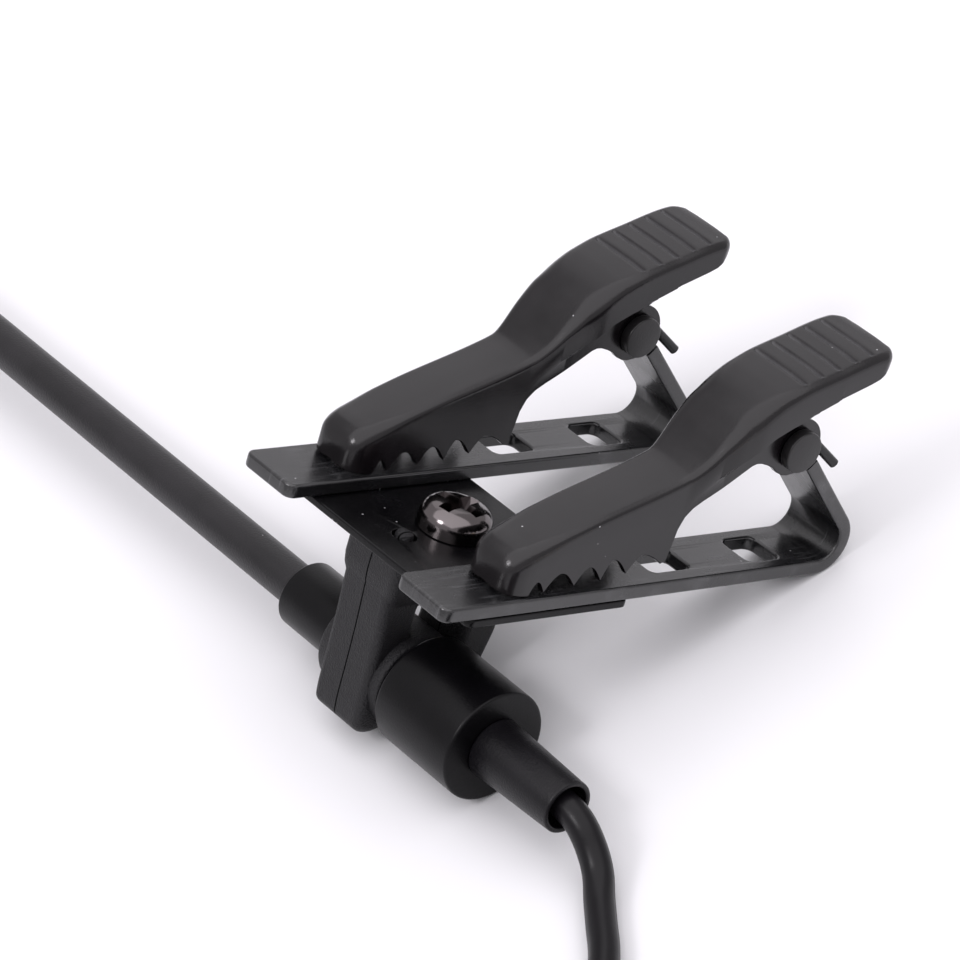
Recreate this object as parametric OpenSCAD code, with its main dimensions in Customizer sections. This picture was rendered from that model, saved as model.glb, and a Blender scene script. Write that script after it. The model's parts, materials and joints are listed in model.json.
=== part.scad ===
// Twin-clip lavalier microphone lying on a table: two sprung clips joined by a
// cross plate, a moulded holder screwed under it, and a microphone barrel with
// a bendable boom, a capsule, a cable and a 3.5 mm jack plug.
// Millimetres, +Z up. X runs along the microphone, with the boom towards -X and
// the cable towards +X. Origin: bottom centre of the object without its cable.

/* [Clips] */
// Distance between the centre planes of the two clips
clip_spacing = 16.7; // [15.8:0.1:20]
// Width of each lower jaw strip
strip_width = 5.2; // [4.8:0.1:5.6]
// Thickness of the lower jaw strip
strip_thickness = 1.04; // [0.8:0.02:1.2]
// Length of the lower jaw from its front edge to the back of its bend
strip_length = 36.2; // [34:0.1:42]
// Outer radius of the bend at the back of the lower jaw
heel_r = 2.45; // [2.3:0.05:2.7]
// Sheet thickness of the upper jaw
jaw_sheet = 0.5; // [0.4:0.05:0.6]
// Diameter of the pivot rivet's shank
rivet_d = 1.5; // [1.2:0.1:1.7]
// Wire diameter of the jaw spring
spring_wire_d = 0.7; // [0.5:0.05:0.8]

/* [Plate and holder] */
// Thickness of the cross plate
plate_thickness = 0.53; // [0.4:0.01:0.7]
// Size of the cross plate from front to back
plate_depth = 14.05; // [13:0.05:16]
// Diameter of the clamp screw's head
screw_head_d = 5.1; // [4.5:0.1:5.4]
// Thread diameter of the clamp screw
screw_d = 2.5; // [2:0.1:2.6]
// Width of the moulded holder along the microphone, below its wider top
holder_width = 4.9; // [4.6:0.1:5.6]
// Height of the lower jaws above the microphone's axis
mic_drop = 9.66; // [9.3:0.02:10.4]

/* [Microphone] */
// Diameter of the microphone barrel and of the capsule housing
barrel_d = 8.1; // [7.6:0.1:8.8]
// Length of the microphone barrel
barrel_length = 7.6; // [7:0.1:12]
// Diameter of the neck tube that the holder grips
neck_d = 4.9; // [4.6:0.1:5.1]
// Diameter of the bendable boom
boom_d = 3.1; // [2.8:0.1:3.4]
// Length of boom between the neck tube and the capsule housing
boom_length = 78; // [66:1:120]
// Length of the capsule housing
capsule_length = 13; // [12.5:0.5:18]

/* [Cable and plug] */
// Diameter of the cable
cable_d = 2.1; // [1.8:0.05:2.15]
// Length of the whole cable
cable_length = 1200; // [900:50:1500]
// Diameter of the jack plug's handle
plug_handle_d = 8.8; // [8:0.1:9.6]
// Length of the jack plug's handle
plug_handle_length = 18; // [16:0.5:24]

/* [Hidden] */
$fn = 72;

// Play between pieces that turn or slide on each other, and between fixed pieces
running_play = 0.05;
fixed_play = 0.02;
// Amount that a cutting shape reaches past the surface it cuts, and that two
// stretches of one sheet share where they join
cut = 1;
lap = 0.01;

// Clip frame: x across the clips, y back from the jaws' front edge, z off the
// strips' underside. The clips lean on their heels, tilted by the angle below.
strip_half = strip_width / 2;
heel_y = strip_length - heel_r;
mic_y = 7.3;
mic_z = -mic_drop;
barrel_r = barrel_d / 2;
heel_dy = heel_y - mic_y;
heel_dz = heel_r - mic_z;
tilt = atan2(heel_dz, heel_dy) - asin((heel_r - barrel_r) / norm([heel_dy, heel_dz]));
clip_z = barrel_r + mic_y * sin(tilt) - mic_z * cos(tilt);
mic_world_y = mic_y * cos(tilt) + mic_z * sin(tilt);

// Upper jaw: [y, z] of the top's middle line from nose to thumb pad. What lies
// behind the teeth moves back with a longer strip and the toothed stretch grows.
bend_y = 19;
nose_y = 5.15;
drawn_strip_length = 36.2;
extra_length = strip_length - drawn_strip_length;
toothed_growth = (bend_y + extra_length - nose_y) / (bend_y - nose_y);
function jaw_y(y) = y < bend_y ? nose_y + (y - nose_y) * toothed_growth : y + extra_length;
function stretched(points) = [for (p = points) [jaw_y(p[0]), p[1]]];
pad_end_y = 34.35;
top_line = stretched([[nose_y, 2.4], [nose_y + 0.06, 2.95], [nose_y + 0.2, 3.35],
    [nose_y + 0.45, 3.7], [nose_y + 0.9, 4.05], [7.2, 4.5], [12, 6.2], [18, 8.22], [19.2, 8.75],
    [20, 9.5], [20.6, 10.3], [21.1, 11.05], [21.7, 11.85], [22.2, 12.5], [22.8, 13.1],
    [23.5, 13.65], [24.2, 14.1], [25, 14.55], [29, 15.95], [pad_end_y - 0.65, 17.27],
    [pad_end_y - 0.2, 17.3], [pad_end_y, 17.05]]);
// [y, z] of the side flanges' lower edge: teeth, throat, ear and pad rim
flange_line = stretched([[nose_y, 1.3], [5.6, 1.2], [7.2, 1.06], [7.7, 2], [8.5, 1.3], [9.7, 2.45],
    [11.1, 1.5], [12.1, 2.65], [13.4, 1.65], [14.1, 3], [15.6, 1.95], [16.7, 3.1], [18.6, 2.3],
    [18.95, 2.5], [19.15, 4.8], [19.5, 5.7], [20.7, 6.9], [22.3, 8], [24.1, 9.2], [25, 9.35],
    [26.2, 8.93], [26.66, 8.55], [27.3, 8.28], [27.8, 8.22], [28.4, 8.31], [29, 8.6], [29.5, 9.1],
    [29.8, 9.7], [29.93, 10.35], [29.97, 14.08], [32.4, 14.98], [pad_end_y - 0.9, 15.6],
    [pad_end_y - 0.5, 16.3], [pad_end_y, 16.6]]);
// [y, half width] of the upper jaw's top for a strip of the stated width, and of
// the side flanges, which step inwards to the ears
ear_half = strip_half - 0.05;
jaw_front_half = strip_half - 0.35;
pad_half = strip_half + 0.62;
width_line = stretched([[nose_y, jaw_front_half - 1], [nose_y + 0.06, jaw_front_half - 0.72],
    [nose_y + 0.2, jaw_front_half - 0.48], [nose_y + 0.45, jaw_front_half - 0.25],
    [nose_y + 0.9, jaw_front_half - 0.08], [6.8, jaw_front_half], [19, jaw_front_half + 0.04],
    [21, jaw_front_half + 0.5], [22.5, pad_half - 0.14], [24, pad_half],
    [pad_end_y - 1, pad_half], [pad_end_y - 0.6, pad_half - 0.14],
    [pad_end_y - 0.25, pad_half - 0.42], [pad_end_y, pad_half - 0.9]]);
flange_width_line = stretched([[nose_y, jaw_front_half - 1], [nose_y + 0.06, jaw_front_half - 0.72],
    [nose_y + 0.2, jaw_front_half - 0.48], [nose_y + 0.45, jaw_front_half - 0.25],
    [nose_y + 0.9, jaw_front_half - 0.08], [6.8, jaw_front_half], [19, jaw_front_half + 0.04],
    [22.5, ear_half], [29.93, ear_half], [29.97, pad_half], [pad_end_y - 1, pad_half],
    [pad_end_y - 0.6, pad_half - 0.14], [pad_end_y - 0.25, pad_half - 0.42],
    [pad_end_y, pad_half - 0.9]]);
// [y, share of the flange's height] where the step inwards ends and begins
step_low_line = stretched([[nose_y, 0.3], [24.1, 0.3], [27.8, 0.62], [29.93, 0.62], [29.97, 0.3]]);
step_high_line = stretched([[nose_y, 0.6], [24.1, 0.5], [27.8, 0.74], [29.93, 0.74],
    [29.97, 0.6]]);
// [y, radius] of the rounding between the top and the side flanges
shoulder_line = stretched([[nose_y, 0.5], [nose_y + 0.9, 0.75], [9, 0.6], [12, 0.45], [20, 0.5], [21.5, 1],
    [23, 1.6], [24.5, 1.05], [26, 0.7], [pad_end_y, 0.55]]);
inner_shoulder = 0.5;
arc_steps = 3;
jaw_caps = [[0, 1, 22, 23], [1, 2, 21, 22], [2, 3, 20, 21], [3, 4, 20], [4, 19, 20], [4, 5, 19],
    [5, 6, 19], [6, 7, 18, 19], [7, 8, 18], [8, 9, 18], [9, 17, 18], [9, 10, 17],
    [10, 11, 16, 17], [11, 12, 15, 16], [12, 13, 14, 15]];
groove_count = 5;
groove_first_y = 26.75;
groove_pitch = 1.39;
groove_r = 0.2;
groove_depth = 0.1;
groove_half = pad_half - 0.5;
station_gap = 0.04;

// Pivot between the jaws, and the tab that rises to it from the heel
pivot_y = jaw_y(27.8);
pivot_z = 10.35;
rivet_r = rivet_d / 2;
rivet_head_r = 1.5;
rivet_head_t = 0.75;
rivet_head_gap = 0.12;
eye_r = 1.5;
eye_t = 0.6;
ear_inner_half = ear_half - jaw_sheet;
tab_half = ear_inner_half - 0.25;
tab_angle = 45.7;
tab_length = (pivot_z - heel_r) * cos(tab_angle) - (pivot_y - heel_y) * sin(tab_angle);
tab_narrow_length = 2.3;
ear_r = 2.15;
spring_slot_length = 2.6;
spring_slot_half = tab_half - eye_t;

// Spring: coils around the rivet, one leg on the tab and one under the pad
spring_r = spring_wire_d / 2;
coil_r = eye_r - 0.05;
spring_turns = 1.814;
spring_pitch = spring_wire_d + 0.06;
spring_half = spring_turns * spring_pitch / 2;
spring_steps = 14;
spring_sides = 8;
tab_leg_angle = 51.9;
tab_leg_length = 4.7;
tab_leg_drift = 0.34;
pad_leg_length = 5.7;

// Cross plate, screw and holder
plate_front_y = 2.3;
plate_half = clip_spacing / 2 + strip_half;
screw_y = 9.8;
screw_head_h = 2;
screw_rim_h = 0.7;
screw_length = 5.4;
recess_width = 0.75;
recess_length = 3.2;
recess_depth = 1.2;
peg_y = 5.6;
peg_r = 0.65;
peg_play = 0.2;
holder_half = holder_width / 2;
holder_front_y = 2.9;
holder_back_y = 14.2;
holder_x = 0.15;
holder_cap_half = holder_half + 0.4;
holder_cap_h = 2.4;
holder_corner_r = 0.8;
hub_r = 3.5;
hub_half = holder_half + 0.8;
holder_outline = [[3, -plate_thickness], [14, -plate_thickness], [14.1, -6.7], [13.5, -9.4],
    [12.6, -10.1], [11.2, -9.8], [10, mic_z], [7, mic_z - 3.3], [6.2, mic_z - 3.8],
    [5.2, mic_z - 4.2], [4.2, mic_z - 3.95], [3.7, mic_z - 3.2], [3.5, -9], [3.2, -4.5]];
slot_front_y = 6.3;
slot_back_y = 11.1;
slot_top_z = -4;

// Microphone, along X
neck_r = neck_d / 2;
boom_r = boom_d / 2;
barrel_back_x = holder_half + 1.5;
barrel_front_x = barrel_back_x + barrel_length;
barrel_wall = 0.7;
barrel_end_wall = 0.9;
barrel_edge = 0.25;
neck_back_x = barrel_back_x + 1.6;
neck_front_x = -8.95;
socket_depth = 4.6;
wire_hole_r = 0.7;
board_t = 0.8;
board_gap = 0.5;
boot_base_r = 2.15;
boot_end_r = 1.9;
boot_length = 7.7;
boot_stem_r = 1.6;
boot_flange_r = 2.6;
boot_flange_t = 0.8;
boot_hollow_r = 1.55;
boot_hollow_depth = 2;
boot_end_x = barrel_front_x + boot_length;
cable_r = cable_d / 2;
cable_start_x = boot_end_x - boot_hollow_depth;

// Boom: a rubber sleeve over a bendable core, in three lengths that meet at two
// bends, with the capsule housing on its far end
sleeve_wall = 0.42;
core_r = boom_r - sleeve_wall - fixed_play;
boom_start_x = neck_front_x + socket_depth;
bend_1_x = neck_front_x - boom_length / 3;
bend_2_x = neck_front_x - boom_length * 2 / 3;
capsule_back_x = neck_front_x - boom_length;
capsule_front_x = capsule_back_x - capsule_length;
capsule_socket = 3;
capsule_neck_r = 2.4;
capsule_neck_length = 1.5;
capsule_cone_length = 4;
capsule_cavity_start = 5.2;
capsule_wall = 0.7;
element_start = 6.2;
element_length = 4;
gasket_t = 0.4;
grille_t = 0.5;
grille_inset = 0.8;
grille_hole_r = 0.32;
grille_pitch = 1.15;

// Placement: bottom centre of everything but the cable and the plug
function world_y(p) = p[0] * cos(tilt) + p[1] * sin(tilt);
last_top = top_line[len(top_line) - 1];
object_back_y = world_y(last_top);
object_front_y = min(concat([mic_world_y - barrel_r], [for (p = holder_outline) world_y(p)]));
origin_x = (boot_end_x + capsule_front_x) / 2;
origin_y = (object_back_y + object_front_y) / 2;

// Cable on the table: lead to the coil, the coil, and the tail to the plug
cable_sides = 8;
coil_x = 53;
coil_y = -13.5;
coil_mid_r = 12;
free_length = 42;
coil_turns = (cable_length - free_length) / (2 * PI * coil_mid_r);
coil_half = sqrt(coil_turns) * cable_d / 2;
coil_corner = 1.9;
lead_angle = 200;
tail_angle = 20;
outer_turn_r = coil_mid_r + coil_half - cable_r;
lead_end = [coil_x + outer_turn_r * cos(lead_angle), coil_y + outer_turn_r * sin(lead_angle)];
tail_start = [coil_x + outer_turn_r * cos(tail_angle), coil_y + outer_turn_r * sin(tail_angle)];
tail_start_z = 2 * coil_half - cable_r - cable_d;
lead_route = [[cable_start_x, mic_world_y, barrel_r], [boot_end_x, mic_world_y, barrel_r],
    [boot_end_x + 1.4, mic_world_y - 0.1, 3.6], [boot_end_x + 2.7, mic_world_y - 0.4, 2.5],
    [boot_end_x + 3.9, mic_world_y - 1, 1.6], [boot_end_x + 5.3, mic_world_y - 2.1, cable_r + 0.1],
    [boot_end_x + 7.1, mic_world_y - 3.4, cable_r], [boot_end_x + 9.3, mic_world_y - 5, cable_r],
    [31.9, -6.2, cable_r], [34.9, -10, cable_r], [37.2, -14.2, cable_r],
    [lead_end[0], lead_end[1], cable_r]];
plug_x = 64.7;
plug_y = -0.5;
plug_z = plug_handle_d / 2;
tail_route = [[tail_start[0], tail_start[1], tail_start_z],
    [tail_start[0] - 1.2, tail_start[1] + 3.1, tail_start_z - 0.2],
    [plug_x + 0.35, plug_y - 2.4, plug_z + 0.15], [plug_x, plug_y - 1.1, plug_z],
    [plug_x, plug_y, plug_z]];
tie_angle = 235;
tie_width = 4;
tie_t = 0.8;
plug_boot_length = 6;
plug_boot_r = 1.7;
plug_neck_r = 2.7;
handle_wall = 1;
handle_edge = 0.5;
jack_r = 1.75;
jack_core_r = 1.1;
sleeve_end = 7.6;
insulator_t = 0.6;
ring_end = 10.4;
jack_length = 14;

// ---------- helpers ----------

function unit(v) = v / norm(v);

function sorted(list) = len(list) < 2 ? list :
    let (pivot = list[floor(len(list) / 2)])
    concat(sorted([for (v = list) if (v < pivot) v]), [pivot],
        sorted([for (v = list) if (v > pivot) v]));

function spaced(list) = [for (i = [0 : len(list) - 1])
    if (i == 0 || i == len(list) - 1 || (list[i] - list[i - 1] > station_gap)) list[i]];

function along(path, i) = unit(path[min(i + 1, len(path) - 1)] - path[max(i - 1, 0)]);

// Skin of a shape given as a stack of rings with the same number of points; the
// end caps are lists of a ring's points, one list for each convex piece
module ring_skin(rings, caps) {
    n = len(rings[0]);
    last = len(rings) - 1;
    points = [for (ring = rings) each ring];
    sides = [for (i = [0 : last - 1], j = [0 : n - 1])
        let (a = i * n + j, b = i * n + (j + 1) % n)
        each [[a, b, b + n], [a, b + n, a + n]]];
    polyhedron(points, concat(
        [for (cap = caps) [for (j = [len(cap) - 1 : -1 : 0]) cap[j]]], sides,
        [for (cap = caps) [for (j = cap) last * n + j]]), convexity = 10);
}

// Round tube swept along a path; across is a direction the path never takes
module swept_tube(path, r, sides, across) {
    ring_skin([for (i = [0 : len(path) - 1])
        let (t = along(path, i), u = unit(cross(across, t)), v = cross(t, u))
        [for (k = [0 : sides - 1]) path[i] + r * (u * cos(360 * (k + 0.5) / sides)
            + v * sin(360 * (k + 0.5) / sides))]], [[for (k = [0 : sides - 1]) k]]);
}

// Places a shape built in the clip frame
module on_clips(x = 0) {
    translate([-origin_x, -origin_y, clip_z]) rotate([-tilt, 0, 0]) translate([x, 0, 0]) children();
}

// Places a shape built around the microphone's axis, turned so that its +Z is +X
module on_mic(x = 0) {
    translate([x - origin_x, mic_world_y - origin_y, barrel_r]) rotate([0, 90, 0]) children();
}

// Places a shape on the boom, turned so that its +Z runs towards the capsule
module on_boom(x = 0) {
    translate([x - origin_x, mic_world_y - origin_y, barrel_r]) rotate([0, -90, 0]) children();
}

module on_table() {
    translate([-origin_x, -origin_y, 0]) children();
}

// Places a shape on the plug's axis, turned so that its +Z runs towards the tip
module on_plug(d = 0) {
    on_table() translate([plug_x, plug_y + d, plug_z]) rotate([-90, 0, 0]) children();
}

// Turns a flat [y, z] outline into a slab of the given width, centred on x = 0
module across_x(width) {
    rotate([90, 0, 90]) translate([0, 0, -width / 2]) linear_extrude(width) children();
}

module rounded_rect(low, high, r) {
    translate([low[0] + r, low[1]]) square([high[0] - low[0] - 2 * r, high[1] - low[1]]);
    translate([low[0], low[1] + r]) square([high[0] - low[0], high[1] - low[1] - 2 * r]);
    for (x = [low[0] + r, high[0] - r], y = [low[1] + r, high[1] - r]) translate([x, y]) circle(r);
}

module x_cylinder(r, x_low, x_high) {
    translate([x_low, 0, 0]) rotate([0, 90, 0]) cylinder(r = r, h = x_high - x_low);
}

// ---------- clips ----------

module strip_window(y_low, y_high, half) {
    translate([0, 0, -cut]) linear_extrude(strip_thickness + 2 * cut)
        rounded_rect([-half, jaw_y(y_low)], [half, jaw_y(y_high)], 0.5);
}

module lower_jaw_side() {
    square([heel_y + lap, strip_thickness]);
    translate([heel_y, heel_r]) {
        intersection() {
            difference() {
                circle(heel_r);
                circle(heel_r - strip_thickness);
            }
            polygon([[0, 0], [0, -2 * heel_r], [3 * heel_r, -2 * heel_r],
                3 * heel_r * [cos(tab_angle), sin(tab_angle)]]);
        }
        rotate(tab_angle - 90) translate([-tab_length, heel_r - strip_thickness])
            square([tab_length + lap, strip_thickness]);
    }
}

module lower_jaw() {
    difference() {
        union() {
            intersection() {
                across_x(strip_width) lower_jaw_side();
                translate([0, 0, -cut]) linear_extrude(20)
                    rounded_rect([-strip_half, 0], [strip_half, strip_length + 5], 0.9);
            }
            translate([0, pivot_y, pivot_z]) x_cylinder(eye_r, -tab_half, tab_half);
        }
        strip_window(19.3, 22.9, 1.25);
        strip_window(28.1, 31.1, 1.5);
        translate([0, pivot_y, pivot_z]) {
            x_cylinder(rivet_r + fixed_play, -strip_width, strip_width);
            rotate([tab_angle - 90, 0, 0]) {
                for (side = [-1, 1]) translate([side * (tab_half + cut), 0, 0])
                    cube([2 * cut, 2 * tab_narrow_length, 5], center = true);
                cube([2 * spring_slot_half, 2 * spring_slot_length, 5], center = true);
            }
        }
    }
}

// Cross-section of the upper jaw's folded sheet at one station along the clip
function jaw_ring(y, d) =
    let (w = lookup(y, width_line),
        f = lookup(y, flange_width_line),
        r = lookup(y, shoulder_line),
        top = lookup(y, top_line),
        low = lookup(y, flange_line),
        slope = atan2(lookup(y + d, top_line) - lookup(y - d, top_line), 2 * d),
        t = min(jaw_sheet / cos(slope), top - low - 0.15),
        rim = max(low + 0.1, top - r),
        roof = y < jaw_y(nose_y + 0.55) ? low + 0.1 : top - t,
        brow = max(low + 0.05, min(roof - 0.05, roof - inner_shoulder)),
        step_low = lookup(y, step_low_line),
        step_high = lookup(y, step_high_line),
        inside = w - jaw_sheet,
        outer = [[f, low], [f, low + step_low * (rim - low)], [w, low + step_high * (rim - low)]],
        inner = [[f - jaw_sheet, low], [f - jaw_sheet, low + step_low * (brow - low)],
            [inside, low + step_high * (brow - low)], [inside, brow],
            [inside - inner_shoulder, roof]])
    concat([for (p = outer) [-p[0], y, p[1]]],
        [for (k = [0 : arc_steps]) [-w + r * (1 - cos(90 * k / arc_steps)), y,
            rim + (top - rim) * sin(90 * k / arc_steps)]],
        [for (k = [arc_steps : -1 : 0]) [w - r * (1 - cos(90 * k / arc_steps)), y,
            rim + (top - rim) * sin(90 * k / arc_steps)]],
        [for (k = [2 : -1 : 0]) [outer[k][0], y, outer[k][1]]],
        [for (p = inner) [p[0], y, p[1]]],
        [for (k = [4 : -1 : 0]) [-inner[k][0], y, inner[k][1]]]);

module upper_jaw() {
    stations = spaced(sorted(concat([for (p = top_line) p[0]], [for (p = flange_line) p[0]],
        [for (p = width_line) p[0]])));
    last = len(top_line) - 3;
    pad_slope = atan2(top_line[last][1] - top_line[last - 2][1],
        top_line[last][0] - top_line[last - 2][0]);
    difference() {
        ring_skin([for (y = stations) jaw_ring(y, 0.1)], jaw_caps);
        translate([0, pivot_y, pivot_z])
            x_cylinder(rivet_r + running_play, -strip_width, strip_width);
        for (i = [0 : groove_count - 1]) {
            y = jaw_y(groove_first_y + i * groove_pitch);
            translate([0, y, lookup(y, top_line) + (groove_r - groove_depth) / cos(pad_slope)])
                x_cylinder(groove_r, -strip_width, groove_half);
        }
        across_x(2 * strip_width) difference() {
            polygon(stretched([[28.1, 12.75], [28.75, 12.2], [29.4, 11.6], [30.3, 10.35],
                [30.3, 14.2], [28.5, 13.5], [28.1, 13.25]]));
            translate([pivot_y, pivot_z]) circle(ear_r);
        }
    }
}

module pivot_rivet() {
    shank_half = ear_half + rivet_head_gap;
    translate([0, pivot_y, pivot_z]) {
        x_cylinder(rivet_r, -shank_half, shank_half);
        x_cylinder(rivet_head_r, shank_half, shank_half + rivet_head_t);
        x_cylinder(rivet_head_r, -shank_half - rivet_head_t, -shank_half);
    }
}

// Path of the spring wire around the rivet: the tab leg, the coils, the pad leg
module jaw_spring() {
    pad_leg_angle = tab_leg_angle + 360 * spring_turns;
    steps = round(spring_turns * spring_steps);
    coils = [for (i = [0 : steps]) let (a = tab_leg_angle + 360 * spring_turns * i / steps)
        [spring_half - 2 * spring_half * i / steps, coil_r * cos(a), coil_r * sin(a)]];
    first = coils[0];
    last = coils[steps];
    tab_leg = [for (k = [3, 2, 1]) first + k / 3 * tab_leg_length
        * [tab_leg_drift, sin(tab_leg_angle), -cos(tab_leg_angle)]];
    pad_leg = [for (k = [1, 2, 3]) last
        + k / 3 * pad_leg_length * [0, -sin(pad_leg_angle), cos(pad_leg_angle)]];
    translate([0, pivot_y, pivot_z])
        swept_tube(concat(tab_leg, coils, pad_leg), spring_r, spring_sides, [1, 0, 0]);
}

module left_lower_jaw() {
    color("dimgray") on_clips(-clip_spacing / 2) lower_jaw();
}

module right_lower_jaw() {
    color("dimgray") on_clips(clip_spacing / 2) lower_jaw();
}

module left_upper_jaw() {
    color("#2a2a2a") on_clips(-clip_spacing / 2) upper_jaw();
}

module right_upper_jaw() {
    color("#2a2a2a") on_clips(clip_spacing / 2) upper_jaw();
}

module left_pivot_rivet() {
    color("gray") on_clips(-clip_spacing / 2) pivot_rivet();
}

module right_pivot_rivet() {
    color("gray") on_clips(clip_spacing / 2) pivot_rivet();
}

module left_jaw_spring() {
    color("silver") on_clips(-clip_spacing / 2) jaw_spring();
}

module right_jaw_spring() {
    color("silver") on_clips(clip_spacing / 2) jaw_spring();
}

// ---------- plate, screw and holder ----------

module cross_plate() {
    color("#222222") on_clips() difference() {
        translate([0, 0, -plate_thickness]) linear_extrude(plate_thickness)
            rounded_rect([-plate_half, plate_front_y], [plate_half, plate_front_y + plate_depth],
                0.5);
        translate([0, screw_y, -plate_thickness - cut])
            cylinder(r = screw_d / 2 + 0.1, h = plate_thickness + 2 * cut);
        translate([0, peg_y, -plate_thickness - cut])
            cylinder(r = peg_r + peg_play, h = plate_thickness + 2 * cut);
    }
}

module clamp_screw() {
    head_r = screw_head_d / 2;
    round_h = screw_head_h - screw_rim_h;
    color("#303030") on_clips() translate([0, screw_y, 0]) difference() {
        rotate_extrude() polygon([[0, -screw_length], [screw_d / 2, -screw_length],
            [screw_d / 2, 0], [head_r, 0], [head_r, screw_rim_h],
            [head_r - 0.22, screw_rim_h + 0.42 * round_h],
            [head_r - 0.65, screw_rim_h + 0.75 * round_h],
            [head_r - 1.3, screw_rim_h + 0.94 * round_h], [0, screw_head_h]]);
        for (turn = [0, 90]) rotate(turn) translate([0, 0, screw_head_h])
            cube([recess_length, recess_width, 2 * recess_depth], center = true);
    }
}

module mic_holder() {
    color("#333333") on_clips(holder_x) difference() {
        union() {
            intersection() {
                across_x(holder_width) polygon(holder_outline);
                translate([0, 0, -2 * mic_drop]) linear_extrude(2 * mic_drop)
                    rounded_rect([-holder_half, holder_front_y], [holder_half, holder_back_y],
                        holder_corner_r);
            }
            translate([0, 0, -plate_thickness - holder_cap_h]) linear_extrude(holder_cap_h)
                rounded_rect([-holder_cap_half, holder_front_y + 0.1],
                    [holder_cap_half, holder_back_y - 0.2], holder_corner_r);
            translate([0, mic_y, mic_z]) x_cylinder(hub_r, -hub_half, hub_half);
            translate([-holder_x, peg_y, -plate_thickness - cut / 2])
                cylinder(r = peg_r, h = plate_thickness + cut / 2 + 0.2);
        }
        translate([0, mic_y, mic_z]) x_cylinder(neck_r + running_play, -10, 10);
        translate([-holder_x, screw_y, -8]) cylinder(r = screw_d / 2, h = 8);
        across_x(20) polygon([[slot_front_y, slot_top_z], [slot_back_y, slot_top_z],
            [slot_back_y, mic_z + 1.6], [10.2, mic_z + 2.4], [slot_front_y, mic_z + 3.45]]);
    }
}

// ---------- microphone ----------

module mic_barrel() {
    color("#2e2e2e") on_mic(barrel_back_x) difference() {
        rotate_extrude() polygon([[0, 0], [barrel_r - barrel_edge, 0], [barrel_r, barrel_edge],
            [barrel_r, barrel_length - barrel_edge], [barrel_r - barrel_edge, barrel_length],
            [0, barrel_length]]);
        translate([0, 0, barrel_end_wall])
            cylinder(r = barrel_r - barrel_wall, h = barrel_length - 2 * barrel_end_wall);
        translate([0, 0, -cut]) cylinder(r = neck_r + fixed_play, h = 2 * cut);
        translate([0, 0, barrel_length - barrel_end_wall - cut / 2])
            cylinder(r = boot_stem_r, h = 2 * cut);
    }
}

module circuit_board() {
    room = barrel_r - barrel_wall;
    low = neck_back_x + 0.2;
    high = barrel_front_x - barrel_end_wall - boot_flange_t - board_gap;
    half = sqrt(room * room - board_t * board_t / 4) - fixed_play;
    color("darkgreen") on_mic(low) translate([-board_t / 2, -half, 0])
        cube([board_t, 2 * half, high - low]);
}

module neck_tube() {
    length = neck_back_x - neck_front_x;
    color("#2b2b2b") on_boom(neck_back_x) difference() {
        rotate_extrude() polygon([[0, 0], [neck_r, 0], [neck_r, length - 0.2],
            [neck_r - 0.2, length], [0, length]]);
        translate([0, 0, length - socket_depth])
            cylinder(r = boom_r + fixed_play, h = socket_depth + cut);
        translate([0, 0, -cut]) cylinder(r = wire_hole_r, h = length);
    }
}

module strain_relief_boot() {
    flange_z = -barrel_end_wall - boot_flange_t;
    color("#262626") on_mic(barrel_front_x) difference() {
        rotate_extrude() polygon([[0, flange_z], [boot_flange_r, flange_z],
            [boot_flange_r, -barrel_end_wall], [boot_stem_r, -barrel_end_wall], [boot_stem_r, 0],
            [boot_base_r, 0], [boot_end_r, boot_length - 0.15], [boot_end_r - 0.15, boot_length],
            [0, boot_length]]);
        translate([0, 0, flange_z - cut])
            cylinder(r = cable_r + fixed_play, h = boot_length - flange_z + cut);
        translate([0, 0, boot_length - boot_hollow_depth])
            cylinder(r = boot_hollow_r, h = boot_hollow_depth + cut);
    }
}

module cable_entry() {
    low = barrel_front_x - barrel_end_wall - boot_flange_t - board_gap / 2;
    color("#202020") on_mic(low) cylinder(r = cable_r, h = cable_start_x - low);
}

module boom_sleeve(x_near, x_far) {
    color("#242424") on_boom(x_near) difference() {
        cylinder(r = boom_r, h = x_near - x_far);
        translate([0, 0, -cut]) cylinder(r = boom_r - sleeve_wall, h = x_near - x_far + 2 * cut);
    }
}

module boom_core(x_near, x_far) {
    color("silver") on_boom(x_near) cylinder(r = core_r, h = x_near - x_far);
}

module boom_sleeve_inner() {
    boom_sleeve(boom_start_x, bend_1_x);
}

module boom_sleeve_middle() {
    boom_sleeve(bend_1_x, bend_2_x);
}

module boom_sleeve_outer() {
    boom_sleeve(bend_2_x, capsule_back_x - capsule_socket);
}

module boom_core_inner() {
    boom_core(boom_start_x, bend_1_x);
}

module boom_core_middle() {
    boom_core(bend_1_x, bend_2_x);
}

module boom_core_outer() {
    boom_core(bend_2_x, capsule_back_x - capsule_socket);
}

module capsule_housing() {
    room = barrel_r - capsule_wall;
    color("#2e2e2e") on_boom(capsule_back_x) difference() {
        rotate_extrude() polygon([[0, 0], [capsule_neck_r, 0],
            [capsule_neck_r, capsule_neck_length], [barrel_r, capsule_cone_length],
            [barrel_r, capsule_length - 0.3], [barrel_r - 0.3, capsule_length],
            [0, capsule_length]]);
        translate([0, 0, -cut])
            cylinder(r = boom_r + fixed_play, h = capsule_socket + cut);
        cylinder(r = wire_hole_r, h = capsule_length);
        translate([0, 0, capsule_cavity_start])
            cylinder(r = room, h = capsule_length - capsule_cavity_start + cut);
    }
}

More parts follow.
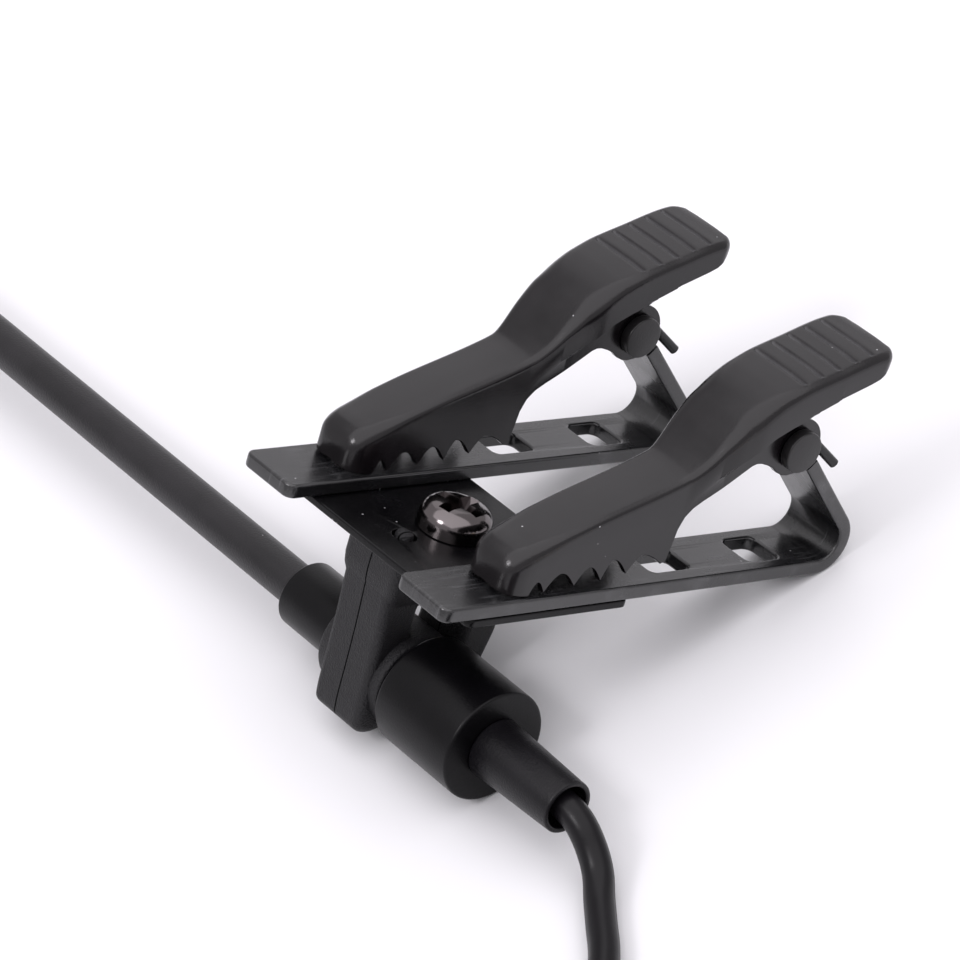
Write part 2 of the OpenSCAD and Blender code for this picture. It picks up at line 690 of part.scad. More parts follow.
module capsule_gasket() {
    room = barrel_r - capsule_wall;
    color("#151515") on_boom(capsule_back_x) translate([0, 0, capsule_cavity_start]) difference() {
        cylinder(r = room, h = element_start - capsule_cavity_start + element_length);
        translate([0, 0, element_start - capsule_cavity_start])
            cylinder(r = room - gasket_t, h = element_length + cut);
        translate([0, 0, -cut]) cylinder(r = wire_hole_r, h = 3 * cut);
    }
}

module mic_capsule() {
    color("silver") on_boom(capsule_back_x) translate([0, 0, element_start])
        cylinder(r = barrel_r - capsule_wall - gasket_t, h = element_length);
}

module capsule_grille() {
    color("gray") on_boom(capsule_back_x) translate([0, 0, capsule_length - grille_inset - grille_t])
        difference() {
            cylinder(r = barrel_r - capsule_wall, h = grille_t);
            for (ring = [0 : 2]) for (i = [0 : max(6 * ring, 1) - 1])
                rotate(360 * i / max(6 * ring, 1)) translate([ring * grille_pitch, 0, -cut])
                    cylinder(r = grille_hole_r, h = grille_t + 2 * cut);
        }
}

// ---------- cable and plug ----------

module cable_lead() {
    color("#202020") on_table() swept_tube(lead_route, cable_r, cable_sides, [0, 0, 1]);
}

module cable_coil() {
    color("#202020") on_table() translate([coil_x, coil_y, 0]) rotate_extrude()
        rounded_rect([coil_mid_r - coil_half, 0], [coil_mid_r + coil_half, 2 * coil_half],
            coil_corner);
}

module cable_tie() {
    color("#181818") on_table() translate([coil_x, coil_y, 0]) rotate(tie_angle)
        rotate([90, 0, 0]) translate([0, 0, -tie_width / 2]) linear_extrude(tie_width)
            difference() {
                rounded_rect([coil_mid_r - coil_half - tie_t, 0],
                    [coil_mid_r + coil_half + tie_t, 2 * coil_half + tie_t], coil_corner);
                rounded_rect([coil_mid_r - coil_half, tie_t],
                    [coil_mid_r + coil_half, 2 * coil_half], coil_corner - tie_t);
            }
}

module cable_tail() {
    color("#202020") on_table() swept_tube(tail_route, cable_r, cable_sides, [0, 0, 1]);
}

module plug_boot() {
    color("#262626") on_plug() difference() {
        rotate_extrude() polygon([[0, 0], [plug_boot_r, 0], [plug_neck_r, plug_boot_length],
            [0, plug_boot_length]]);
        translate([0, 0, 2]) cylinder(r = wire_hole_r, h = plug_boot_length);
    }
}

module plug_handle() {
    r = plug_handle_d / 2;
    color("#1c1c1c") on_plug(plug_boot_length) difference() {
        rotate_extrude() polygon([[0, 0], [r - handle_edge, 0], [r, handle_edge],
            [r, plug_handle_length - handle_edge], [r - handle_edge, plug_handle_length],
            [0, plug_handle_length]]);
        translate([0, 0, 2]) cylinder(r = r - handle_wall, h = plug_handle_length - 4);
        translate([0, 0, -cut]) cylinder(r = wire_hole_r, h = 4);
        translate([0, 0, plug_handle_length - 3]) cylinder(r = jack_core_r, h = 4);
    }
}

module jack_tube(low, high) {
    color("goldenrod") on_plug(plug_boot_length + plug_handle_length + low) difference() {
        cylinder(r = jack_r, h = high - low);
        translate([0, 0, -cut]) cylinder(r = jack_core_r, h = high - low + 2 * cut);
    }
}

module plug_sleeve() {
    jack_tube(0, sleeve_end);
}

module plug_ring() {
    jack_tube(sleeve_end + insulator_t, ring_end);
}

module plug_insulators() {
    tip_start = ring_end + insulator_t;
    color("#111111") on_plug(plug_boot_length + plug_handle_length) {
        translate([0, 0, -2]) cylinder(r = jack_core_r, h = tip_start + 2);
        translate([0, 0, sleeve_end]) cylinder(r = jack_r, h = insulator_t);
        translate([0, 0, ring_end]) cylinder(r = jack_r, h = insulator_t);
    }
}

module plug_tip() {
    tip_start = ring_end + insulator_t;
    color("goldenrod") on_plug(plug_boot_length + plug_handle_length) rotate_extrude()
        polygon([[0, tip_start], [jack_r, tip_start], [jack_r, tip_start + 0.3],
            [1.25, tip_start + 0.8], [1.25, tip_start + 1], [1.65, tip_start + 1.7],
            [1.3, tip_start + 2.4], [0.5, jack_length], [0, jack_length]]);
}

left_lower_jaw();
right_lower_jaw();
left_upper_jaw();
right_upper_jaw();
left_pivot_rivet();
right_pivot_rivet();
left_jaw_spring();
right_jaw_spring();
cross_plate();
clamp_screw();
mic_holder();
mic_barrel();
circuit_board();
neck_tube();
boom_sleeve_inner();
boom_sleeve_middle();
boom_sleeve_outer();
boom_core_inner();
boom_core_middle();
boom_core_outer();
capsule_housing();
mic_capsule();
capsule_gasket();
capsule_grille();
strain_relief_boot();
cable_entry();
cable_lead();
cable_coil();
cable_tie();
cable_tail();
plug_boot();
plug_handle();
plug_sleeve();
plug_ring();
plug_tip();
plug_insulators();
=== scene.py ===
"""Looks of a lavalier microphone on joined clips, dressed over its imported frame."""

import json
import logging
import math
from collections.abc import Callable, Iterator
from dataclasses import dataclass
from enum import Enum

import bmesh  # noqa: E402
import bpy  # noqa: E402
from mathutils import Matrix, Vector  # noqa: E402

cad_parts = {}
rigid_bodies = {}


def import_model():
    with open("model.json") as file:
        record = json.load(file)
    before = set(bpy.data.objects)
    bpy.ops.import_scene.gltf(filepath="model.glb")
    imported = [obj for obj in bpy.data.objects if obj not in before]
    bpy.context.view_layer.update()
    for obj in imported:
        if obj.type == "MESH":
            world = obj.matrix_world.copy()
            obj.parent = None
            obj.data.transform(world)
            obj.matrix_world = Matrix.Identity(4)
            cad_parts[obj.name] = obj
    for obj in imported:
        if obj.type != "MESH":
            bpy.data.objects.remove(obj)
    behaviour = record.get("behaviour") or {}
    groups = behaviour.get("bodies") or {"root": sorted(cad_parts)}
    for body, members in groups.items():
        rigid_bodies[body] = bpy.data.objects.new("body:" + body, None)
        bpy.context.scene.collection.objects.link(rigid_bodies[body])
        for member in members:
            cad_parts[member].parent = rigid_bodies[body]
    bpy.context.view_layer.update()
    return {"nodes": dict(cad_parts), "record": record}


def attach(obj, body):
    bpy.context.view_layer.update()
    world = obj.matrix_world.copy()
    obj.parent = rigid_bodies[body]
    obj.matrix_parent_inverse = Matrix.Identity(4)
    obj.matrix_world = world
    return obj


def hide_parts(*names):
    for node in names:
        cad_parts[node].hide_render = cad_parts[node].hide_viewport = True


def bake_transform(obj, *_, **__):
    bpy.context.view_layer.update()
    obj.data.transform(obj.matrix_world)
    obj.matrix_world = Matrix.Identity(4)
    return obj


LOG = logging.getLogger("lavalier")
MM = 0.001
Point2 = tuple[float, float]
Point3 = tuple[float, float, float]
Line = tuple[Point2, ...]
Where = Callable[[float, float, float], Vector]
Shape = bmesh.types.BMesh
Piece = bpy.types.Object
Node = bpy.types.Node
Socket = bpy.types.NodeSocket


# ---------------- placement


@dataclass(frozen=True)
class Placement:
    """Where the clips and the microphone sit in the row frame, in millimetres and degrees."""

    tilt: float = 27.7533
    clip_height: float = 15.9981
    axis_y: float = 1.96188
    axis_height: float = 4.05
    origin_x: float = -40.35
    origin_y: float = 17.8119

    def clips(self, x: float, y: float, z: float) -> Vector:
        """Turns a point of the clip frame into a point of the row frame.

        Args:
            x: Its place along the microphone, in millimetres.
            y: Its place along the clips.
            z: Its height above the strips' underside.

        Returns:
            The point in metres.
        """
        a = math.radians(self.tilt)
        across = y * math.cos(a) + z * math.sin(a) - self.origin_y
        up = -y * math.sin(a) + z * math.cos(a) + self.clip_height
        return Vector((x - self.origin_x, across, up)) * MM

    def axis(self, x: float, y: float, z: float) -> Vector:
        """Turns a point given from the microphone's axis into a point of the row frame, in metres."""
        return Vector((x - self.origin_x, y + self.axis_y - self.origin_y, z + self.axis_height)) * MM

    def table(self, x: float, y: float, z: float) -> Vector:
        """Turns a point given on the table top into a point of the row frame, in metres."""
        return Vector((x - self.origin_x, y - self.origin_y, z)) * MM


PLACE = Placement()


class Side(Enum):
    """Which of the two clips a piece belongs to."""

    LEFT = -1
    RIGHT = 1

    @property
    def word(self) -> str:
        """The side's name as the frame's nodes spell it."""
        return self.name.lower()

    @property
    def centre(self) -> float:
        """The clip's middle plane, in millimetres along the microphone."""
        return self.value * 8.35


# ---------------- nodes and finishes


@dataclass
class Graph:
    """A node tree, built one node after another."""

    tree: bpy.types.NodeTree

    def add(self, kind: str, inputs: dict | None = None, **settings: object) -> Node:
        """Adds a node.

        Args:
            kind: The node's type.
            inputs: The value of each input named, or the socket that feeds it.
            settings: The node's own settings.

        Returns:
            The node.
        """
        node = self.tree.nodes.new(kind)
        for name, value in settings.items():
            setattr(node, name, value)
        self.feed(node, inputs or {})
        return node

    def feed(self, node: Node, inputs: dict) -> None:
        """Sets inputs of a node, or links them where a socket feeds them.

        Args:
            node: The node.
            inputs: The value or the socket for each input, by its name or place.
        """
        for key, value in inputs.items():
            if isinstance(value, Socket):
                self.tree.links.new(value, node.inputs[key])
            else:
                node.inputs[key].default_value = value

    def noise(self, place: Socket, scale: float, detail: float) -> Socket:
        """Adds a noise texture and returns its value."""
        inputs = {"Vector": place, "Scale": scale, "Detail": detail}
        return self.add("ShaderNodeTexNoise", inputs).outputs["Fac"]

    def maths(self, operation: str, *values: Socket | float) -> Socket:
        """Adds one step of arithmetic and returns its result."""
        return self.add("ShaderNodeMath", dict(enumerate(values)), operation=operation).outputs[0]

    def spread(self, value: Socket, low: float, high: float, span: Point2 = (0.0, 1.0)) -> Socket:
        """Maps the ends of a value's span to low and high, and returns the value."""
        inputs = {"Value": value, "From Min": span[0], "From Max": span[1], "To Min": low, "To Max": high}
        return self.add("ShaderNodeMapRange", inputs).outputs["Result"]


@dataclass(frozen=True)
class Marks:
    """Sizes and tints of the marks that making and use leave on a finish, and the tint of a painted highlight
    along the thumb pad's grooves.
    """

    speck_cells: float = 2200.0
    speck_size: float = 0.14
    speck_tint: Point3 = (0.35, 0.35, 0.36)
    scratch_grain: float = 5200.0
    scratch_stretch: Point3 = (1.0, 0.06, 0.06)
    scratch_span: Point2 = (0.56, 0.80)
    scratch_tint: Point3 = (0.20, 0.20, 0.21)
    seam_half: float = 0.055
    seam_tint: Point3 = (0.0008, 0.0008, 0.0008)
    # Painted highlight: a lighter tint laid along the thumb pad's grooves, standing in for light caught on
    # their edges.
    worn_tint: Point3 = (0.055, 0.054, 0.058)


MARKS = Marks()


@dataclass(frozen=True)
class Finish:
    """A procedural finish: tone, gloss, grain, shares of specks and scratches, and a parting line's X."""

    name: str
    colour: Point3
    roughness: float = 0.4
    metallic: float = 0.0
    specular: float = 0.5
    grain: float = 3000.0
    grain_depth: float = 0.05
    tone_spread: float = 0.25
    gloss_spread: float = 0.12
    specks: float = 0.0
    brushed: float = 0.0
    seam: float = 0.0

    def material(self) -> bpy.types.Material:
        """Builds the finish once.

        Returns:
            Its material.
        """
        name = self.name + "_finish"
        made = bpy.data.materials.get(name)
        if made is not None:
            return made
        made = bpy.data.materials.new(name)
        made.use_nodes = True
        graph, shader = Graph(made.node_tree), made.node_tree.nodes["Principled BSDF"]
        place = graph.add("ShaderNodeTexCoord").outputs["Object"]
        patches = graph.noise(place, self.grain * 0.04, 5.0)
        ramp = graph.add("ShaderNodeValToRGB", {"Fac": patches})
        for stop, position, change in zip(ramp.color_ramp.elements, (0.3, 0.7), (-1, 1)):
            stop.position = position
            stop.color = (*(min(1.0, c * (1 + change * self.tone_spread)) for c in self.colour), 1.0)
        bump = graph.add("ShaderNodeBump", {
            "Height": graph.noise(place, self.grain, 3.0), "Strength": min(1.0, self.grain_depth * 12),
            "Distance": 3 * self.grain_depth * MM})
        gloss = graph.spread(patches, max(0.03, self.roughness - self.gloss_spread),
                             min(1.0, self.roughness + self.gloss_spread))
        graph.feed(shader, {"Metallic": self.metallic, "Specular IOR Level": self.specular,
                            "Roughness": gloss, "Normal": bump.outputs["Normal"]})
        colour = ramp.outputs["Color"]
        for mask, tint in self._marks(graph, place, shader):
            colour = graph.add("ShaderNodeMix", {"Factor": mask, "A": colour, "B": (*tint, 1.0)},
                               data_type="RGBA").outputs["Result"]
        graph.feed(shader, {"Base Color": colour})
        return made

    def _marks(self, graph: Graph, place: Socket, shader: Node) -> Iterator[tuple[Socket, Point3]]:
        """Draws specks, scratches along the clips, a moulding's parting line, and a painted highlight where a
        mesh attribute marks the thumb pad's grooves.

        Args:
            graph: The material's nodes.
            place: The Object coordinates.
            shader: The shader, which the parting line dulls.

        Yields:
            The mask and the tint of each kind of mark, the lowest first.
        """
        if self.specks > 0:
            cells = graph.add("ShaderNodeTexVoronoi", {"Vector": place, "Scale": MARKS.speck_cells}).outputs
            red = graph.add("ShaderNodeSeparateColor", {"Color": cells["Color"]}).outputs["Red"]
            near = graph.maths("LESS_THAN", cells["Distance"], MARKS.speck_size)
            few = graph.maths("LESS_THAN", red, self.specks)
            yield graph.maths("MULTIPLY", near, few), MARKS.speck_tint
        if self.brushed > 0:
            along = graph.add("ShaderNodeMapping", {"Vector": place, "Scale": MARKS.scratch_stretch})
            streaks = graph.noise(along.outputs["Vector"], MARKS.scratch_grain, 4.0)
            yield graph.spread(streaks, 0.0, self.brushed, MARKS.scratch_span), MARKS.scratch_tint
        if self.seam > 0:
            x = graph.add("ShaderNodeSeparateXYZ", {"Vector": place}).outputs["X"]
            near = graph.maths("COMPARE", x, self.seam * MM, MARKS.seam_half * MM)
            graph.feed(shader, {"Specular IOR Level": graph.spread(near, self.specular, 0.0)})
            yield near, MARKS.seam_tint
        # Painted highlight: the groove attribute lightens the colour where light would catch the pad grooves'
        # edges.
        yield graph.add("ShaderNodeAttribute", attribute_name="worn").outputs["Fac"], MARKS.worn_tint


JAW_COAT = Finish("jaw_coat", (0.0050, 0.0039, 0.0048), 0.22, specular=0.48, grain=9000, grain_depth=0.014,
                  tone_spread=0.2, gloss_spread=0.10, specks=0.010)
STRIP_COAT = Finish("strip_coat", (0.0055, 0.0055, 0.0064), 0.26, specular=0.85, grain=6500,
                    grain_depth=0.015, gloss_spread=0.09, specks=0.015, brushed=0.3)
PLATE_COAT = Finish("plate_coat", (0.0022, 0.0021, 0.0026), 0.24, specular=0.20, grain=6500,
                    grain_depth=0.015, specks=0.04)
RIVET_COAT = Finish("rivet_coat", (0.0085, 0.0078, 0.0083), 0.33, specular=0.42, grain=6500,
                    grain_depth=0.02)
SPRING_WIRE = Finish("spring_wire", (0.03, 0.03, 0.031), 0.30, metallic=0.4, grain_depth=0.008)
BLACK_NICKEL = Finish("black_nickel", (0.150, 0.135, 0.136), 0.14, metallic=1.0, grain=2500,
                      grain_depth=0.008, gloss_spread=0.08)
HOLDER_PLASTIC = Finish("holder_plastic", (0.0065, 0.0062, 0.0075), 0.46, specular=0.34, grain=8200,
                        grain_depth=0.055, tone_spread=0.15, seam=40.5)
BARREL_COAT = Finish("barrel_coat", (0.0022, 0.0020, 0.0026), 0.33, specular=0.18, grain=8200,
                     grain_depth=0.018, gloss_spread=0.05)
BOOM_SLEEVE = Finish("boom_sleeve", (0.0115, 0.0105, 0.0120), 0.40, specular=0.36, grain=6500,
                     grain_depth=0.03, specks=0.006, gloss_spread=0.06)
BOOT_RUBBER = Finish("boot_rubber", (0.0042, 0.0037, 0.0050), 0.36, specular=0.27, grain=8200,
                     grain_depth=0.03, gloss_spread=0.04)
CABLE_PVC = Finish("cable_jacket", (0.0040, 0.0034, 0.0046), 0.34, specular=0.24, grain=3600,
                   grain_depth=0.012)
CORE_STEEL = Finish("core_steel", (0.45, 0.45, 0.45), 0.3, metallic=1.0, grain=2500, grain_depth=0.02)
CAPSULE_CAN = Finish("capsule_can", (0.62, 0.62, 0.63), 0.28, metallic=1.0, grain=2500, grain_depth=0.01)
GRILLE_STEEL = Finish("grille_steel", (0.08, 0.08, 0.08), 0.35, metallic=1.0, grain=2500, grain_depth=0.02)
GASKET = Finish("gasket_rubber", (0.012, 0.012, 0.012), 0.7, grain=4000)
BOARD = Finish("board_mask", (0.02, 0.12, 0.05), 0.35, grain=2500, grain_depth=0.02)
STRAP = Finish("strap_weave", (0.012, 0.012, 0.013), 0.8, grain=6000, grain_depth=0.2)
HANDLE_PLASTIC = Finish("handle_plastic", (0.012, 0.012, 0.013), 0.42, grain=5000, grain_depth=0.03)
GOLD = Finish("gold_plate", (0.83, 0.60, 0.26), 0.18, metallic=1.0, grain=1500, grain_depth=0.01,
              gloss_spread=0.05)
INSULATOR = Finish("insulator_gloss", (0.010, 0.010, 0.010), 0.15, grain=1500, grain_depth=0.01)
FLOOR_WHITE = Finish("floor_white", (0.81, 0.81, 0.825), 0.55, grain=300, grain_depth=0.0, tone_spread=0.0,
                     gloss_spread=0.0)


# ---------------- mesh making


def linked(name: str, data: bpy.types.ID) -> Piece:
    """Makes an object and links it to the scene.

    Args:
        name: The object's name.
        data: Its mesh, curve, camera or light.

    Returns:
        The object.
    """
    made = bpy.data.objects.new(name, data)
    bpy.context.scene.collection.objects.link(made)
    return made


def evaluated(made: Piece) -> bpy.types.Mesh:
    """Returns the plain mesh that an object's modifiers leave."""
    return bpy.data.meshes.new_from_object(made.evaluated_get(bpy.context.evaluated_depsgraph_get()))


def taken(helper: Piece) -> Shape:
    """Turns a helper object into the shape that its modifiers leave.

    Args:
        helper: The object; it is deleted with its data.

    Returns:
        The shape.
    """
    data, mesh, shape = helper.data, evaluated(helper), bmesh.new()
    shape.from_mesh(mesh)
    bpy.data.objects.remove(helper)
    bpy.data.batch_remove([data, mesh])
    return shape


def plain_mesh(name: str, shape: Shape) -> bpy.types.Mesh:
    """Turns a shape into a mesh.

    Args:
        name: The mesh's name.
        shape: The shape; it is freed.

    Returns:
        The mesh.
    """
    mesh = bpy.data.meshes.new(name)
    shape.to_mesh(mesh)
    shape.free()
    return mesh


def crease(mesh: bpy.types.Mesh, angle: float) -> None:
    """Shades a mesh smooth, with crisp edges where it bends by more than an angle in degrees."""
    mesh.shade_smooth()
    mesh.set_sharp_from_angle(angle=math.radians(angle))


def to_piece(name: str, shape: Shape, finish: Finish, sharp: float = 35.0) -> Piece:
    """Makes a piece of a shape.

    Args:
        name: The piece's name.
        shape: The shape in metres, in the row frame; it is freed.
        finish: The finish that dresses it.
        sharp: Edges bent by more than this angle in degrees stay crisp.

    Returns:
        The piece, linked to the scene.
    """
    bmesh.ops.remove_doubles(shape, verts=shape.verts[:], dist=1e-7)
    bmesh.ops.recalc_face_normals(shape, faces=shape.faces[:])
    mesh = plain_mesh(name, shape)
    crease(mesh, sharp)
    mesh.materials.append(finish.material())
    return linked(name, mesh)


def modified(made: Piece, kind: str, **settings: object) -> Piece:
    """Runs a piece through one modifier and keeps the result as its plain mesh.

    Args:
        made: The piece.
        kind: The modifier's type.
        settings: The modifier's settings.

    Returns:
        The same piece.
    """
    step = made.modifiers.new("step", kind)
    for name, value in settings.items():
        setattr(step, name, value)
    done, old = evaluated(made), made.data
    made.modifiers.remove(step)
    made.data = done
    bpy.data.meshes.remove(old)
    return made


def weighted(made: Piece) -> Piece:
    """Lets the large faces set the normals at their corners, so that flat faces look flat."""
    return modified(made, "WEIGHTED_NORMAL", keep_sharp=True, weight=90)


def carve(made: Piece, cutter: Shape, union: bool = False) -> None:
    """Cuts a closed shape out of a piece.

    Args:
        made: The piece.
        cutter: The shape in the row frame; it is freed.
        union: Whether the shape is joined on instead.
    """
    bmesh.ops.recalc_face_normals(cutter, faces=cutter.faces[:])
    tool = linked("cutter", plain_mesh("cutter", cutter))
    modified(made, "BOOLEAN", operation="UNION" if union else "DIFFERENCE", solver="EXACT", object=tool)
    bpy.data.batch_remove([tool, tool.data])
    crease(made.data, 35)


def ringed(rings: list[list[Vector]], loop: bool = False) -> Shape:
    """Joins closed rings of equal length into a skin.

    Args:
        rings: The rings' points in order.
        loop: Whether the last ring joins the first; else both ends are capped.

    Returns:
        The shape.
    """
    shape = bmesh.new()
    rows = [[shape.verts.new(p) for p in ring] for ring in rings]
    count = len(rows[0])
    for a, b in zip(rows, rows[1:] + (rows[:1] if loop else [])):
        for j in range(count):
            k = (j + 1) % count
            shape.faces.new((a[j], a[k], b[k], b[j]))
    if not loop:
        shape.faces.new(rows[0][::-1])
        shape.faces.new(rows[-1])
    return shape


def arm(r: float, a: float) -> Point2:
    """The point at a radius and an angle in radians from the origin."""
    return r * math.cos(a), r * math.sin(a)


def turned(profiles: list[list[Point2]], where: Where, steps: int = 96, onto: Shape | None = None) -> Shape:
    """Turns closed profiles round one axis.

    Args:
        profiles: The profiles, each a list of [along, radius] points.
        where: Maps (along, across, across) in millimetres to the row frame.
        steps: The number of steps round the axis.
        onto: A shape that the result is added to, if any.

    Returns:
        The shape.
    """
    shape = onto or bmesh.new()
    for profile in profiles:
        rows = [[shape.verts.new(where(x, *arm(r, math.tau * k / steps)))
                 for k in range(steps if r > 1e-6 else 1)] for x, r in profile]
        for a, b in zip(rows, rows[1:] + rows[:1]):
            for j in range(steps if len(a) + len(b) > 2 else 0):
                k = (j + 1) % steps
                corners = (a[j % len(a)], a[k % len(a)], b[k % len(b)], b[j % len(b)])
                shape.faces.new(tuple(dict.fromkeys(corners)))
    return shape


def lathe(name: str, profiles: list[list[Point2]], where: Where, finish: Finish, steps: int = 96) -> Piece:
    """Turns closed profiles round one axis into a piece."""
    return to_piece(name, turned(profiles, where, steps), finish)


def placed(shape: Shape, where: Where) -> Shape:
    """Moves each point of a shape to where it belongs in the row frame.

    Args:
        shape: The shape in millimetres.
        where: Maps its points to the row frame.

    Returns:
        The same shape, in metres.
    """
    for vert in shape.verts:
        vert.co = where(*vert.co)
    return shape


def eased(profile: list[Point2], r: float, steps: int = 4, axis: bool = True) -> list[Point2]:
    """Rounds the corners of a closed profile.

    Args:
        profile: The profile's points.
        r: How far from its corner each rounding starts, in millimetres.
        steps: The number of steps in each rounding.
        axis: Whether points of radius 0 lie on an axis and stay as they are.

    Returns:
        The rounded profile.
    """
    out: list[Point2] = []
    for i, here in enumerate(profile):
        if axis and here[1] < 1e-6:
            out.append(here)
            continue
        corner = Vector(here)
        p, q = Vector(profile[i - 1]) - corner, Vector(profile[(i + 1) % len(profile)]) - corner
        reach = min(r, 0.45 * p.length, 0.45 * q.length)
        start, end = corner + p.normalized() * reach, corner + q.normalized() * reach
        for k in range(steps + 1):
            t = k / steps
            out.append(tuple((1 - t) ** 2 * start + 2 * t * (1 - t) * corner + t * t * end))
    return out


def add_spline(curve: bpy.types.Curve, points: list, closed: bool) -> None:
    """Adds a straight-sided line through points to a curve.

    Args:
        curve: The curve.
        points: The points, flat or in space.
        closed: Whether the last point joins the first.
    """
    spline = curve.splines.new("POLY")
    spline.points.add(len(points) - 1)
    for target, point in zip(spline.points, points):
        target.co = (*Vector(point).to_3d(), 1.0)
    spline.use_cyclic_u = closed


def sheet(outlines: list[list[Point2]], thickness: float, edge: float, segments: int = 2) -> Shape:
    """Cuts a flat sheet with rounded edges.

    Args:
        outlines: The outer outline first, then the holes, in millimetres.
        thickness: The sheet's thickness in millimetres; it is centred on z = 0.
        edge: The radius of its rounded edges in millimetres.
        segments: How finely the edges are rounded.

    Returns:
        The sheet in millimetres.
    """
    curve = bpy.data.curves.new("sheet", "CURVE")
    curve.dimensions = "2D"
    curve.fill_mode = "BOTH"
    curve.extrude = thickness / 2 - edge
    curve.bevel_depth = edge
    curve.bevel_resolution = segments
    curve.offset = -edge
    for points in outlines:
        add_spline(curve, points, True)
    shape = taken(linked("sheet", curve))
    bmesh.ops.remove_doubles(shape, verts=shape.verts[:], dist=1e-4)
    return shape


def rounded_box(low: Point2, high: Point2, r: float, steps: int = 6) -> list[Point2]:
    """Draws a rectangle with rounded corners.

    Args:
        low: Its lower left corner.
        high: Its upper right corner.
        r: The corners' radius.
        steps: The number of steps in each corner.

    Returns:
        The outline.
    """
    corners = ((high[0] - r, high[1] - r, 0), (low[0] + r, high[1] - r, 90),
               (low[0] + r, low[1] + r, 180), (high[0] - r, low[1] + r, 270))
    turns = [(x, y, arm(r, math.radians(start + 90 * k / steps))) for x, y, start in corners
             for k in range(steps + 1)]
    return [(x + u, y + v) for x, y, (u, v) in turns]


def round_hole(u: float, v: float, r: float, steps: int = 48) -> list[Point2]:
    """Draws a circle round a point."""
    return [(u + x, v + y) for x, y in (arm(r, math.tau * k / steps) for k in range(steps))]


class NodeStep:
    """A Geometry Nodes tree with named inputs for its sizes, which is run on a helper object."""

    name: str
    sizes: dict[str, str]

    def wire(self, graph: Graph, given: bpy.types.NodeOutputs) -> Socket:
        """Adds the nodes that make the geometry from the tree's inputs, and returns its socket."""
        raise NotImplementedError

    def tree(self) -> bpy.types.GeometryNodeTree:
        """Builds the node tree once.

        Returns:
            The tree.
        """
        made = bpy.data.node_groups.get(self.name)
        if made is not None:
            return made
        made = bpy.data.node_groups.new(self.name, "GeometryNodeTree")
        sockets = {"Geometry": "NodeSocketGeometry", **self.sizes, "Material": "NodeSocketMaterial"}
        for name, kind in sockets.items():
            made.interface.new_socket(name, in_out="INPUT", socket_type=kind)
        made.interface.new_socket("Geometry", in_out="OUTPUT", socket_type="NodeSocketGeometry")
        graph = Graph(made)
        given = graph.add("NodeGroupInput").outputs
        real = graph.add("GeometryNodeRealizeInstances", {"Geometry": self.wire(graph, given)})
        dress = graph.add("GeometryNodeSetMaterial", {"Geometry": real.outputs["Geometry"],
                                                      "Material": given["Material"]})
        graph.add("NodeGroupOutput", {"Geometry": dress.outputs["Geometry"]})
        return made

    def run(self, helper: Piece, finish: Finish, **sizes: float) -> Shape:
        """Runs the tree on a helper object.

        Args:
            helper: The object; it is deleted.
            finish: The finish of the result.
            sizes: The tree's sizes by their inputs' names.

        Returns:
            The shape that the tree makes.
        """
        step = helper.modifiers.new(self.name, "NODES")
        step.node_group = self.tree()
        values = {**sizes, "Material": finish.material()}
        for item in step.node_group.interface.items_tree:
            if item.in_out == "INPUT" and item.name in values:
                step[item.identifier] = values[item.name]
        return taken(helper)


class PathSweep(NodeStep):
    """Sweeps a round section along a path."""

    name = "round_section_along_path"
    sizes = {"radius": "NodeSocketFloat", "sides": "NodeSocketInt"}

    def wire(self, graph: Graph, given: bpy.types.NodeOutputs) -> Socket:
        """Carries a circle along the path and caps its ends.

        Args:
            graph: The tree's nodes.
            given: The tree's inputs.

        Returns:
            The tube's socket.
        """
        section = graph.add("GeometryNodeCurvePrimitiveCircle", {
            "Radius": given["radius"], "Resolution": given["sides"]}).outputs["Curve"]
        return graph.add("GeometryNodeCurveToMesh", {
            "Curve": given["Geometry"], "Profile Curve": section, "Fill Caps": True}).outputs["Mesh"]

    def tube(self, name: str, path: list[Vector], radius: float, sides: int, finish: Finish) -> Piece:
        """Makes a tube along a path.

        Args:
            name: The piece's name.
            path: Its centreline in metres, in the row frame.
            radius: The tube's radius in millimetres.
            sides: The number of sides of its section.
            finish: The finish that dresses it.

        Returns:
            The tube.
        """
        curve = bpy.data.curves.new(name + "_path", "CURVE")
        curve.dimensions = "3D"
        add_spline(curve, path, False)
        shape = self.run(linked(name + "_path", curve), finish, radius=radius * MM, sides=sides)
        return to_piece(name, shape, finish, 50.0)


class DrilledDisc(NodeStep):
    """Drills a round disc at given points."""

    name = "drilled_disc"
    sizes = {"radius": "NodeSocketFloat", "thickness": "NodeSocketFloat", "hole_radius": "NodeSocketFloat"}

    def wire(self, graph: Graph, given: bpy.types.NodeOutputs) -> Socket:
        """Sets a drill on each point and cuts them all out of the disc.

        Args:
            graph: The tree's nodes.
            given: The tree's inputs.

        Returns:
            The drilled disc's socket.
        """
        disc = graph.add("GeometryNodeMeshCylinder", {
            "Vertices": 96, "Radius": given["radius"], "Depth": given["thickness"]}).outputs["Mesh"]
        drill = graph.add("GeometryNodeMeshCylinder", {
            "Vertices": 24, "Radius": given["hole_radius"], "Depth": 4.0}).outputs["Mesh"]
        drills = graph.add("GeometryNodeInstanceOnPoints", {
            "Points": given["Geometry"], "Instance": drill}).outputs["Instances"]
        return graph.add("GeometryNodeMeshBoolean", {"Mesh 1": disc, "Mesh 2": drills},
                         operation="DIFFERENCE").outputs["Mesh"]


